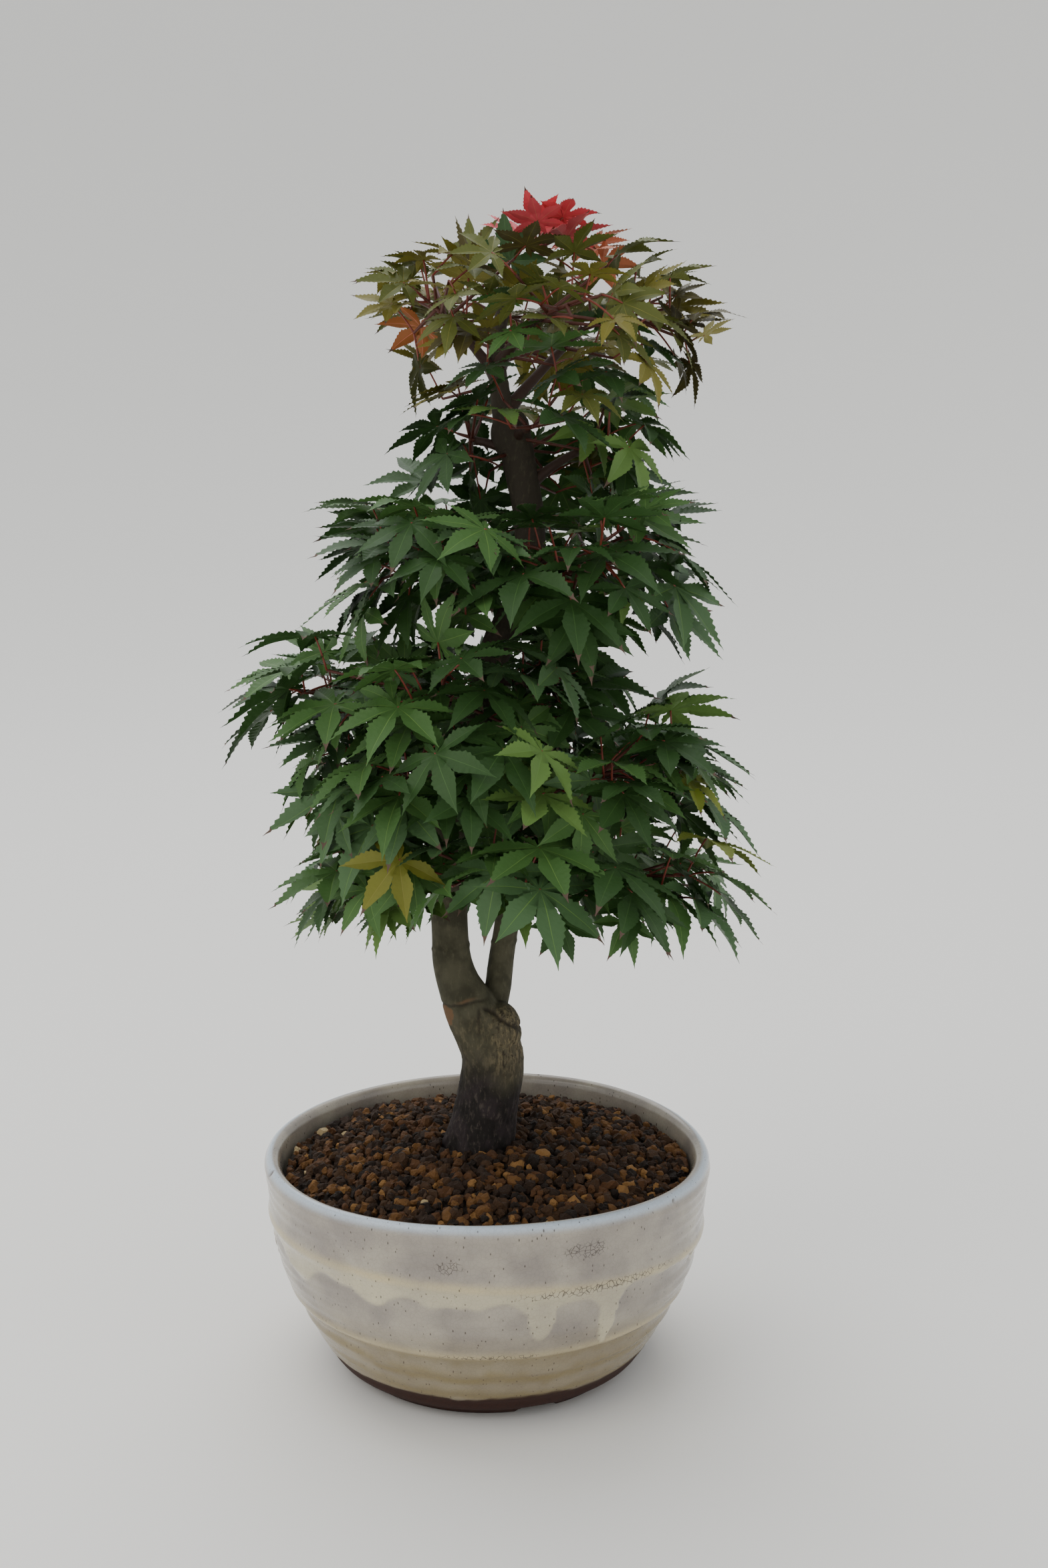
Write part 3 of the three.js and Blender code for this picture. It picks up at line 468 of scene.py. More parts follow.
LEADER = [(360, 8.4, 0, 4.8), (384, 4.8, 0, 3.2), (402, 5.6, 0.5, 2.6), (424, 13, 1, 1.8)]
STUB = [(214, -15, 4, 4.6), (222, -25, 3, 4.2), (231, -35.5, 2, 3.8)]
SHOULDER = [(4.6, -0.5, 131.5), (9, 10.1, 11)]  # middle and radii
KNUCKLE = [(9.6, 0, 362), (7.4, 7, 9.5)]  # where the crown's limbs part
BUTTRESS = {"height": 16, "depth": 0.1, "count": 4}
TRUNK_SIDES = 32
BARK_GRAIN = 0.62  # edge of the cells in which the skin is melted together
PATCH = (-15.5, 138.5, 2.8, 3.8)  # where a flake is off and orange wood shows: x, height and half widths
UP = np.array([0, 0, 1.0])


def through(stations, count):
    """A smooth curve through stations, as a Catmull-Rom spline, with the radius blended along it."""
    table = np.array(stations, dtype=float)
    table = np.concatenate([[2 * table[0] - table[1]], table, [2 * table[-1] - table[-2]]])
    place = np.linspace(0, len(stations) - 1, count)
    i = np.minimum(place.astype(int), len(stations) - 2)
    t = (place - i)[:, None]
    a, b, c, d = (table[i + k] for k in range(4))
    rows = 2 * b + (c - a) * t + (2 * a - 5 * b + 4 * c - d) * t**2 + (3 * b - a - 3 * c + d) * t**3
    return rows[:, [1, 2, 0]] / 2, rows[:, 3] / 2


def tubes(paths, radii, sides):
    """Round limbs along paths, all at once: at each point a ring square to the path, whose first corner keeps
    to the axis that the limb lies least along. Paths are limb by point by x, y, z; the ends are closed."""
    limbs, rows = paths.shape[:2]
    along = np.gradient(paths, axis=1)
    along /= np.linalg.norm(along, axis=2, keepdims=True)
    least = np.argmin(np.abs(paths[:, -1] - paths[:, 0]), axis=1)
    side = np.eye(3)[least][:, None] - along * np.take_along_axis(along, least[:, None, None], axis=2)
    side /= np.linalg.norm(side, axis=2, keepdims=True)
    across = np.cross(along, side)
    angle = 2 * math.pi * np.arange(sides)[:, None] / sides
    ring = side[:, :, None] * np.cos(angle) + across[:, :, None] * np.sin(angle)
    points = paths[:, :, None] + ring * np.atleast_3d(radii)[..., None]
    first = rows * sides * np.arange(limbs)[:, None]
    walls = grid_faces(rows, sides, closed_columns=True) + first[..., None]
    starts = first + np.arange(sides)[::-1]
    ends = first + (rows - 1) * sides + np.arange(sides)
    return points.reshape(-1, 3), [walls.reshape(-1, 4), starts, ends]


def joined(parts):
    """Several sets of points and faces as one."""
    points, faces, first = [], [], 0
    for part_points, part_faces in parts:
        points.append(part_points)
        faces += [face + first for face in part_faces]
        first += len(part_points)
    return np.concatenate(points), faces


def trunk_limbs():
    """The main stem with its root flare, the second stem, the leader, the stub and the shoulder, loose."""
    path, radius = through(MAIN_STEM, 90)
    angle = 2 * math.pi * np.arange(TRUNK_SIDES) / TRUNK_SIDES
    flare = np.exp(-np.maximum(0, path[:, 2] - SOIL_TOP) / BUTTRESS["height"])[:, None]
    swell = 1 + BUTTRESS["depth"] * flare * np.cos(BUTTRESS["count"] * angle)
    limbs = [tubes(path[None], (radius[:, None] * swell)[None], TRUNK_SIDES)]
    for stations in (SECOND_STEM, LEADER, STUB):
        path, radius = through(stations, 40)
        limbs.append(tubes(path[None], radius[None], sides=20))
    points, faces = ball(3)
    for middle, radii in (SHOULDER, KNUCKLE):
        limbs.append((points * radii + middle, [faces]))
    return joined(limbs)


def melted(points, faces, cell, rounds):
    """The limbs' common skin: remeshed in cubic cells and smoothed, as points, faces and normals."""
    loose = new_piece("loose_limbs", points, faces, [])
    remesh = loose.modifiers.new("skin", "REMESH")
    remesh.mode = "VOXEL"
    remesh.voxel_size = cell * MM
    soften = loose.modifiers.new("soften", "SMOOTH")
    soften.iterations = rounds
    mesh = bpy.data.meshes.new_from_object(loose.evaluated_get(bpy.context.evaluated_depsgraph_get()))
    skin, normals = np.zeros((2, len(mesh.vertices) * 3))
    mesh.vertices.foreach_get("co", skin)
    mesh.vertices.foreach_get("normal", normals)
    corners = np.zeros(len(mesh.loops), dtype=np.int64)
    mesh.loops.foreach_get("vertex_index", corners)
    bpy.data.objects.remove(loose)
    return skin.reshape(-1, 3) / MM, corners.reshape(-1, 4), normals.reshape(-1, 3)


def lerp(low, high, share):
    """A value between two others."""
    return low + (high - low) * share


def bark_relief(points):
    """How far the bark stands out, and the masks of its colours. Old bark has upright fissures. The callus is
    fibrous, with a groove along the old cut and one beside it. Young bark has faint pores and ring scars."""
    x, y, z = points.T
    height = z + 3 * noise(points, 9, 21)
    right = smooth_step(-2, 8, x)
    tall = points * [1, 1, 0.4]
    old = smooth_step(133, 102, height + 5 * noise(points, 4, 30))
    old *= 1 - 0.6 * right * smooth_step(100, 112, height)
    fissures = np.abs(noise(tall, 1.7, 22)) + 0.6 * np.abs(noise(tall, 0.9, 23))
    callus = smooth_step(100, 128, height) * smooth_step(142, 138, height) * (0.25 + 0.75 * right)
    upright = np.abs(noise(points * [1.6, 1.6, 0.4], 1.6, 24))
    level = np.abs(noise(points * [0.5, 0.5, 1.7], 1.8, 27))
    fibres = lerp(level, upright, smooth_step(-4, 4, x))
    wobble = 0.9 * noise(points, 3, 29)
    cut = bell(z + 0.68 * x + wobble, 141.5, 1) * smooth_step(-3, 0, x) * smooth_step(128, 131, z)
    beside = bell(x + 3 + wobble, 0, 0.8) * smooth_step(129, 135, z) * smooth_step(144, 141, z)
    beside *= smooth_step(2, -2, y)
    slant = z - 0.19 * x + 0.5 * wobble
    scar = bell(slant, 145.7, 0.7) * smooth_step(2, -3, x)
    rings = bell((height - 149) % 31, 15, 0.8) * smooth_step(150, 156, height)
    relief = 0.2 - 0.5 * old * fissures - 0.5 * callus * fibres + 0.07 * noise(points * [1, 1, 0.5], 1.3, 25)
    relief += 0.3 * rings - 0.4 * scar - 0.8 * cut - 0.5 * beside
    relief += 0.5 * noise(points, 11, 26) * smooth_step(430, 120, height)
    flake = ((x - PATCH[0]) / PATCH[2]) ** 4 + ((z - PATCH[1]) / PATCH[3]) ** 4 + 0.5 * noise(points, 2, 28)
    rim = 0.7 * bell(slant, 146.8, 0.7) * bell(x, -8, 4)
    masks = {
        "old": old,
        "callus": 0.9 * callus,
        # Painted shade: the grooves of the old cut, beside it and along the scar, and thin lines in the
        # callus's wrinkles, are darkened
        "groove_shade": np.max([cut, 0.8 * beside, 0.7 * scar, callus * smooth_step(0.16, 0.04, fibres)], axis=0),
        "patch": np.maximum(smooth_step(1.15, 0.85, flake), rim) * smooth_step(3, 0, y),
        # Painted shade: from 230 to 300 mm up the stems turn darker and greyer, where the crown shades them
        "high": 0.8 * smooth_step(230, 300, z),
    }
    return relief, {name: np.clip(mask, 0, 1) for name, mask in masks.items()}


def maple_bark(names):
    """Maple bark: matt, dark and flecked at the foot, tan on the callus, grey with an olive cast above,
    with painted shade in its grooves and on the stems under the crown.
    """
    inputs = {"Roughness": 0.85, "Specular IOR Level": 0.35}
    material, tree, shader = new_material("maple_bark", inputs)
    place = add_node(tree, "TexCoord", "Object", {})
    mask = {name: add_node(tree, "Attribute", "Fac", {}, attribute_name=name) for name in names}
    tall = add_node(tree, "Mapping", "Vector", {"Vector": place, "Scale": (1, 1, 0.4)})
    fine = {"Vector": tall, "Scale": per_metre(1.4), "Detail": 6, "Roughness": 0.7}
    fine = add_node(tree, "TexNoise", "Fac", fine)
    broad = add_node(tree, "TexNoise", "Fac", {"Vector": place, "Scale": per_metre(8), "Detail": 3})
    coats = [  # what chooses the place, the mask it keeps to, its span of values, share and colour
        # The high mask's colour is painted shade under the crown
        (broad, None, 0.35, 0.65, 1, "#4D4A3A"), (mask["high"], None, 0, 1, 1, "#3F3830"),
        (fine, None, 0.5, 0.75, 0.35, "#6F6A55"), (mask["callus"], None, 0, 1, 0.85, "#554E3D"),
        (fine, "callus", 0.45, 0.62, 0.7, "#897A5A"), (mask["old"], None, 0, 1, 0.95, "#1A1515"),
        (broad, "old", 0.4, 0.62, 0.7, "#31282A"), (fine, "old", 0.5, 0.7, 0.6, "#5C534B"),
        # The grooves' dark colour is painted shade
        (mask["groove_shade"], None, 0, 1, 0.8, "#211A14"), (mask["patch"], None, 0, 1, 0.8, "#6E5138"),
    ]
    colour = linear("#393729")
    for chooser, kept_to, low, high, share, tint in coats:
        where = {"Value": chooser, "From Min": low, "From Max": high, "To Max": share}
        where = add_node(tree, "MapRange", "Result", where, interpolation_type="SMOOTHSTEP")
        if kept_to:
            where = add_node(tree, "Math", "Value", {0: where, 1: mask[kept_to]}, operation="MULTIPLY")
        colour = add_node(tree, "Mix", 2, {0: where, 6: colour, 7: linear(tint)}, data_type="RGBA")
    bump = add_node(tree, "Bump", "Normal", {"Height": fine, "Strength": 0.5, "Distance": 0.4 * MM})
    set_inputs(shader, {"Base Color": colour, "Normal": bump})
    return material


skin_points, skin_faces, skin_normals = melted(*trunk_limbs(), cell=BARK_GRAIN, rounds=4)
relief, bark_masks = bark_relief(skin_points)
skin_points += skin_normals * relief[:, None]
trunk = new_piece("trunk_bark", skin_points, [skin_faces], [maple_bark(bark_masks)], masks=bark_masks)
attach(trunk, "root")
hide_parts("trunk", "second_stem", "pruned_stub")


# The boughs: thin young limbs that leave the stems in tiers, each to carry one mass of leaves.
# They are dark red-brown and smooth, with a collar where they leave the stem and a swelling at each joint.
# A tier's row holds its masses, first azimuth, middle on x, reach, level, band above and below, lift to the
# front, the height of its boughs' feet, its leaves' share of the full size, what is added to their droop, the
# pairs of leaves that a twig lacks, and which of the side twigs grow.
TIER_KEYS = ("name", "masses", "turn", "middle", "reach", "level", "band", "lift", "foot")
TIER_KEYS += ("leaf", "hang", "lacks", "every")
TIERS = [
    ("skirt", 5, -18, 14, 102, 197, 13, 8, 186, 1, 0, 0, 1),
    ("lower", 5, 18, 9, 100, 236, 14, 2, 222, 1, 0, 0, 1),
    ("middle", 4, 84, -20, 87, 265, 13, 0, 260, 1, 0, 0, 1),
    ("upper", 4, 35, 12, 86, 321, 13, -5, 303, 0.95, 0, 0, 1),
    ("neck", 4, 4, 20, 59, 362, 14, 2, 350, 0.88, 0.5, 2, 3),
    ("crown", 4, 20, 25, 80, 413, 15, -6, 378, 0.8, -0.15, 1, 1),
    ("tuft", 1, -100, 29, 37, 436, 8, 0, 424, 0.7, -0.9, 0, 1),
]
TIERS = [dict(zip(TIER_KEYS, row)) for row in TIERS]
TREE_HEIGHT = 450
BOUGH = {"radii": (2.1, 1.4), "arch": 2.5, "stagger": 6, "shares": (0.32, 0.32, 0.7)}
BOUGH_POINTS = 13  # along each
RIGHTWARD = 0.25  # boughs that point more to the right than this leave the second stem
SIDES = ["right", "back_right", "back", "back_left", "left", "front_left", "front", "front_right"]


def unit(vector):
    """The vector at length 1."""
    return vector / np.linalg.norm(vector)


def place_in(tier, azimuth, radius, height):
    """A place in a tier: azimuth and radius about its middle, and height as a share of its band."""
    angle = math.radians(azimuth)
    level = tier["level"] + tier["band"] * height - tier["lift"] * math.sin(angle)
    return np.array([tier["middle"] + radius * math.cos(angle), radius * math.sin(angle), level])


def bough_path(tier, azimuth, foot):
    """A quadratic curve from the nearest stem, a third of the way out to the tier's reach."""
    stem = MAIN_STEM if foot < MAIN_STEM[-1][0] else LEADER
    if foot < SECOND_STEM[-1][0] and math.cos(math.radians(azimuth)) > RIGHTWARD:
        stem = SECOND_STEM
    heights, x, y, _ = zip(*stem)
    start = np.array([np.interp(foot, heights, x), np.interp(foot, heights, y), foot])
    end = lerp(start, place_in(tier, azimuth, tier["reach"], 0), np.array(BOUGH["shares"]))
    bend = (start + end) / 2 + UP * BOUGH["arch"]
    t = np.linspace(0, 1, BOUGH_POINTS)[:, None]
    return (1 - t) ** 2 * start + 2 * t * (1 - t) * bend + t**2 * end


def start_masses():
    """The masses of leaves, each with its bough; the tuft stands on the leader's tip and has none."""
    masses = []
    for storey, tier in enumerate(TIERS):
        for i in range(tier["masses"]):
            azimuth = tier["turn"] + 360 * i / tier["masses"]
            mass = {"tier": tier, "azimuth": azimuth, "half_angle": 180 / tier["masses"]}
            mass["seed"] = 1000 * (storey + 1) + 37 * (i + 1)
            if tier["masses"] == 1:
                mass.update(name=tier["name"], path=None, root=through(LEADER, 40)[0][-1])
            else:
                foot = tier["foot"] + BOUGH["stagger"] * (i - (tier["masses"] - 1) / 2)
                side = SIDES[round((azimuth % 360) / 45) % 8]
                path = bough_path(tier, azimuth, foot)
                mass.update(name=f"{tier['name']}_{side}", path=path, root=path[-1])
            masses.append(mass)
    return masses


def young_bark(name, tint, gloss):
    """Young maple bark: thin and smooth with a dull shine, and pores a quarter of a millimetre wide that give
    faint relief.
    """
    rough = (gloss - 0.12, gloss + 0.12)
    return pored_skin(name, tint, pore=0.9, detail=3, strength=0.4, depth=0.2, rough=rough)


masses = start_masses()
borne = [mass for mass in masses if mass["path"] is not None]
along = np.linspace(0, 1, BOUGH_POINTS)
thick = lerp(*BOUGH["radii"], along) + 1.5 * np.exp(-along / 0.14) + 0.35 * bell(along, 1, 0.05)
paths = np.array([mass["path"] for mass in borne])
bough_points, bough_faces = tubes(paths, np.tile(thick, (len(borne), 1)), sides=12)
bough_points += 0.12 * noise(bough_points, 2.2, 31)[:, None] * [1, 1, 0.4]
boughs = new_piece("boughs", bough_points, bough_faces, [young_bark("young_maple_bark", "#3E2A22", 0.6)])
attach(boughs, "root")
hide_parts(*[f"bough_{mass['name']}" for mass in borne])


# The twigs and stalks: from each bough's end a shoot goes on, forks in pairs, and its twigs bear leaves in
# pairs that stand crosswise, and one leaf at the tip. Twigs are wine brown; the stalks are redder.
# Here they are laid out; they are made after the leaves, because only twigs that bear leaves are kept.
LEAF_SIZE = 29.5
STEM_RADIUS = (0.95, 0.85)
TWIG_RADIUS = (0.75, 0.5)
STALK_RADIUS = (0.42, 0.34)
HEART_SHARE = 0.45  # how far out to its leaves a shoot goes
TWIG_FAN = [(0.3, 0.93, -0.75), (0.62, 0.6, 0.25), (0.92, 0.3, 0.85)]  # place, turn and height of each pair
LEAF_PAIRS = [(0.15, (0, 2), 0.8), (0.42, (1, 3), 0.85), (0.7, (0, 2), 0.92), (0.95, (1, 3), 0.95)]
# Place, side, length and rise of the twigs on a bough; place, turn and reach of the crown's upright ones
SIDE_TWIGS = [(0.2, 1, 26, -5), (0.38, -1, 30, 9), (0.6, 1, 30, 12), (0.75, -1, 34, -8), (0.95, 1, 34, -3)]
UPRIGHT_TWIGS = [(0.2, 70, 0.3), (0.45, -50, 0.5), (0.7, 25, 0.68), (0.9, -15, 0.82)]
UPRIGHT = {"below": 1.0, "rise": 0.5}  # how far under the dome they end, in leaf sizes; how their leaves rise
CROWN_TOP = (20, 0.0066, 0.0098)  # where the crown is highest, and its fall with the squares of x and y
STALK = {"length": (8, 18), "length_at_tip": 6, "spread": 56, "rise": 0.35}
MIDRIB = {"stalk": 0.7, "out": 0.6}
# Ways a leaf stands, at the top of the tree and at its foot
DROOP = (0.15, 0.6)
LEAN = (0.15, 0.95)
TUMBLE = (1.1, 0.9)
BEND = (0.06, 0.32)
FOLD = (0.1, 0.5)


def seeded(seed):
    """Endless numbers from 0 to 1, after Lehmer."""
    state = seed
    while True:
        state = state * 48271 % 2147483647
        yield state / 2147483647


def turned(vector, axis, angle):
    """A vector turned about an axis at right angles to it."""
    return vector * math.cos(angle) + np.cross(axis, vector) * math.sin(angle)


def out_of(tier, place):
    """The level way out from a tier's middle through a place."""
    return unit(np.array([place[0] - tier["middle"], place[1], 0]) + 1e-9)


def grow_leaf(tier, root, way, length, size, rise, draw):
    """A blade on its stalk: it follows the stalk and the way out, hangs more the lower it grows, and tips
    its face up and outward."""
    stalk = unit(way)
    middle = root + stalk * length
    out = out_of(tier, middle)
    low = (TREE_HEIGHT - middle[2]) / (TREE_HEIGHT - TIERS[0]["level"])
    droop = lerp(*DROOP, low) * lerp(0.3, 1.7, next(draw)) + tier["hang"] - rise
    midrib = unit(MIDRIB["stalk"] * stalk + MIDRIB["out"] * out - droop * UP)
    lean = lerp(*LEAN, low) * lerp(0.6, 1.3, next(draw))
    tumble = lerp(*TUMBLE, low) * np.array([next(draw) - 0.5 for _ in range(3)])
    normal = UP + lean * out + tumble
    normal = unit(normal - midrib * (normal @ midrib))
    size *= lerp(0.8, 1.12, next(draw))
    bend, fold = lerp(*BEND, next(draw)), lerp(*FOLD, next(draw))
    ways = {"middle": middle, "stalk": stalk, "midrib": midrib, "normal": normal}
    return {"root": root, "size": size, "bend": bend, "fold": fold, **ways}


def grow_twig(tier, start, end, draw, rise=0):
    """A twig with crosswise pairs of leaves and a leaf at its tip."""
    along = unit(end - start)
    side = unit(np.cross(UP, along))
    side = turned(side, along, math.radians(30) * (next(draw) - 0.5))
    full = tier["leaf"] * LEAF_SIZE
    leaves = []
    for share, faces, scale in LEAF_PAIRS[tier["lacks"]:]:
        root = lerp(start, end, share)
        for face in faces:
            spread = math.radians(STALK["spread"] * lerp(0.8, 1.2, next(draw)))
            outward = turned(side, along, face * math.pi / 2)
            way = along * math.cos(spread) + outward * math.sin(spread) + UP * STALK["rise"]
            length = lerp(*STALK["length"], next(draw))
            leaves.append(grow_leaf(tier, root, way, length, full * scale, rise, draw))
    way, length = along + 0.2 * UP, STALK["length_at_tip"]
    leaves.append(grow_leaf(tier, end, way, length, full, rise, draw))
    return {"start": start, "end": end, "leaves": leaves}


def highest_leaf(place):
    """The dome over the crown: how high a leaf may stand, falling with the squares of x and y."""
    middle, fall_x, fall_y = CROWN_TOP
    return TREE_HEIGHT - fall_x * (place[..., 0] - middle) ** 2 - fall_y * place[..., 1] ** 2


def grow_mass(mass):
    """The shoot goes half way out to its leaves and forks in pairs of twigs that fan over the mass's share of
    the tier; the leading twig's last leaf reaches the tier's circle. Side twigs leave the bough before it,
    and in the crown some stand up to the dome."""
    tier, azimuth, root, draw = mass["tier"], mass["azimuth"], mass["root"], seeded(mass["seed"])
    full = tier["leaf"] * LEAF_SIZE

    def target(turn, height):
        angle = azimuth + mass["half_angle"] * (turn + 0.1 * (next(draw) - 0.5))
        radius = tier["reach"] - full * lerp(1.1, 1.3, next(draw))
        return place_in(tier, angle, radius, height + 0.4 * (next(draw) - 0.5))

    heart = lerp(root, place_in(tier, azimuth, tier["reach"] - 1.2 * full, 0), HEART_SHARE)
    twigs = []
    for share, turn, height in TWIG_FAN:
        for sign in (1, -1):
            end = target(sign * turn, sign * height)
            twigs.append(grow_twig(tier, lerp(root, heart, share), end, draw))
    twigs.append(grow_twig(tier, heart, target(0, 0), draw))
    side_twigs = []
    if mass["path"] is not None:
        way = unit((mass["path"][-1] - mass["path"][0]) * [1, 1, 0])
        for share, sign, length, rise in SIDE_TWIGS[::tier["every"]]:
            start = mass["path"][round(share * (BOUGH_POINTS - 1))]
            end = start + length * unit(0.5 * way + 0.8 * sign * np.cross(UP, way)) + rise * UP
            side_twigs.append(grow_twig(tier, start, end, draw))
    if tier["name"] == "crown":
        for share, turn, reach in UPRIGHT_TWIGS:
            end = place_in(tier, azimuth + turn * 0.5, reach * tier["reach"], 0)
            end[2] = highest_leaf(end) - UPRIGHT["below"] * full
            side_twigs.append(grow_twig(tier, lerp(root, heart, share), end, draw, UPRIGHT["rise"]))
    leading = twigs[-1]["leaves"][-1]
    tip = leading["middle"] + leading["midrib"] * leading["size"]
    short = tier["reach"] - math.hypot(tip[0] - tier["middle"], tip[1])
    leading["middle"] = leading["middle"] + out_of(tier, tip) * short
    mass.update(heart=heart, twigs=side_twigs + twigs)


for mass in masses:
    grow_mass(mass)


# The leaves: five long lobes and two short ones, each broadest past its middle, toothed and drawn out to a
# point that has often dried. Low down they are deep and blue green, at the top olive gold, and red on the
# newest shoots. A lobe is a ladder of stations with its pale midrib in the middle, around a small hub.
# A lobe's row holds its turn from the middle one, its length, its width and its number of teeth.
LOBES = [(0, 1.0, 0.35, 8), (50, 0.95, 0.35, 8), (101, 0.78, 0.35, 7), (150, 0.36, 0.32, 3)]
LOBE_SHAPE = [(0.2, 0.56), (0.3, 0.7), (0.42, 0.94), (0.5, 1), (0.62, 0.84), (0.74, 0.53), (0.84, 0.29)]
LOBE_SHAPE += [(0.93, 0.11), (1, 0.01)]  # share of the length, and of the half width there
LOBE_BASE = 0.24  # the share of a lobe's length at which its ladder starts
SINUS = 0.28  # how far out the lobes part
TEETH_START = (0.3, 0.46)  # where along a lobe its teeth set in
STALK_NOTCH = 0.06
TOOTH = 0.019
PLEAT = 0.009
VEIN_HALF_WIDTH = 0.007
SWAY = 5  # degrees either way
ARCH = (0.5, 1.5)  # of each lobe, as a share of the leaf's bend
ACROSS = 4  # points across a lobe: edge, midrib, midrib, edge
# Where leaves may stand
LOWEST_LEAF = (164, 0.12)  # above the trunk's foot, and its rise towards the front
BARE_STEMS = [(13, 346, 15, 11), (-3, 172, 16, 12)]  # where stems show in front: x, height, half widths
NARROWING = 0.65  # how much less the crown reaches for each millimetre below its level
SPILL = 8  # degrees that a mass may reach into the next one
BLADE_TURN = 0.1  # the least cosine between a stalk and its blade's midrib
LEAF_ROOM = 0.01  # the gap around an outline, in leaf sizes
LEAVES_APART = 5  # between the middles of two leaves
# Share of the size, roll and pitch of each try to fit a leaf in
TRIES = [(1, 0, 0), (1, 25, 10), (1, -25, 10), (0.9, 0, 25), (0.9, 20, -15), (0.8, -20, 20), (0.72, 0, 0)]
AXES = ("middle", "midrib", "side", "normal")


def leaf_template():
    """The flat leaf in leaf sizes, stalk's end at the origin. Points are x, y, lobe, distance off the midrib
    and pleat. Then come the hub's triangles and which are midrib, the ladders' quads, and the lobe of each
    and whether it's midrib or tip, and last each lobe's turn and length."""
    lobes = [(-turn, *shape) for turn, *shape in LOBES[:0:-1]] + LOBES
    points, ring = [np.array([[0, 0, -1, 0, 0], [-STALK_NOTCH, 0, -1, 0, 0]])], [1]
    walls, wall_kind, first = [], [], 2
    for k, (turn, length, width, teeth) in enumerate(lobes):
        if k:
            between = math.radians((turn + lobes[k - 1][0]) / 2)
            depth = SINUS * (length + lobes[k - 1][1]) / 2
            points.append(np.array([[depth * math.cos(between), depth * math.sin(between), -1, 0.06, 0]]))
            ring.append(first)
            first += 1
        share = np.linspace(LOBE_BASE, 0.9, 2 * teeth + 1)
        share[1::2] += 0.45 * (share[1] - share[0])
        tooth = np.where(np.arange(len(share)) % 2, 1.0, -1.0)
        uneven = 1 + 0.45 * np.sin(2.3 * np.arange(len(share)) + k)
        half = width / 2 * np.interp(share, *np.array(LOBE_SHAPE).T)
        half += tooth * uneven * TOOTH * (1.1 - share) * smooth_step(*TEETH_START, share)
        share, half, tooth = np.append([share, half, tooth], [[0.95, 1], [0.011, 0.003], [0, 0]], axis=1)
        rib = np.minimum(VEIN_HALF_WIDTH * (1.1 - share), half / 2)
        off = np.stack([-half, -rib, rib, half], axis=1) * length
        out = np.repeat(share[:, None] * length, ACROSS, axis=1)
        c, s = math.cos(math.radians(turn)), math.sin(math.radians(turn))
        pleat = PLEAT * tooth[:, None] * [1, 0, 0, 1]
        ladder = [out * c - off * s, out * s + off * c, np.full_like(out, k), np.abs(off), pleat]
        points.append(np.stack(ladder, axis=-1).reshape(-1, 5))
        ring += range(first, first + ACROSS)
        walls.append(first + grid_faces(len(share), ACROSS)[:, ::-1])
        step, lane = np.divmod(np.arange(len(walls[-1])), ACROSS - 1)
        wall_kind.append(np.stack([np.full(len(step), k), lane == 1, step >= len(share) - 4], axis=1))
        first += len(share) * ACROSS
    ring, points = np.array(ring), np.concatenate(points)
    ahead = np.roll(ring, -1)
    hub = np.stack([np.zeros(len(ring), dtype=int), ring, ahead], axis=1)
    lobe, off = points[:, 2], points[:, 3]
    hub_rib = (lobe[ring] == lobe[ahead]) & (off[ring] == off[ahead]) & (lobe[ring] >= 0)
    ends = np.array([lobe[:2] for lobe in lobes])
    return points, hub, hub_rib, np.concatenate(walls), np.concatenate(wall_kind), ends


LEAF_POINTS, HUB_FACES, HUB_RIB, LADDER_FACES, LADDER_KIND, LOBE_ENDS = leaf_template()
EDGE_ANGLE = np.degrees(np.arctan2(LEAF_POINTS[1:, 1], LEAF_POINTS[1:, 0]))
EDGE_RADIUS = np.hypot(*LEAF_POINTS[1:, :2].T)[np.argsort(EDGE_ANGLE)]
EDGE_ANGLE = np.sort(EDGE_ANGLE)


def in_blades(blades, points):
    """Points as blades see them: along and across the midrib and above the drooping face, in leaf sizes."""
    offset = (points[None] - blades["middle"][:, None]) / blades["size"][:, None, None]
    x, y, z = (np.einsum("bpk,bk->bp", offset, blades[key]) for key in ("midrib", "side", "normal"))
    return x, y, z + blades["bend"][:, None] * (x * x + y * y)


def pierced(blades, segments):
    """Whether straight segments pass through any of the blades: the height above the face changes sign
    inside the outline."""
    x0, y0, z0 = in_blades(blades, segments[:, 0])
    x1, y1, z1 = in_blades(blades, segments[:, 1])
    share = z0 / np.where(z0 == z1, 1, z0 - z1)
    x, y = lerp(x0, x1, share), lerp(y0, y1, share)
    edge = np.interp(np.degrees(np.arctan2(y, x)), EDGE_ANGLE, EDGE_RADIUS)
    return ((z0 * z1 < 0) & (np.hypot(x, y) < edge + LEAF_ROOM)).any()


def leaf_lines(leaf):
    """A leaf's own lines: two segments along each lobe, bent as the blade is, and its stalk."""
    angle, length = np.radians(LOBE_ENDS[:, :1]), LOBE_ENDS[:, 1:]
    way = leaf["midrib"] * np.cos(angle) + leaf["side"] * np.sin(angle)
    spots = [
        leaf["middle"] + leaf["size"] * (way * far - leaf["normal"] * leaf["bend"] * far**2)
        for far in (0.08 * length, 0.55 * length, length)
    ]
    stalk = np.stack([leaf["root"], lerp(leaf["root"], leaf["middle"], 0.93)])[None]
    return np.concatenate([np.stack(spots[:2], axis=1), np.stack(spots[1:], axis=1), stalk])


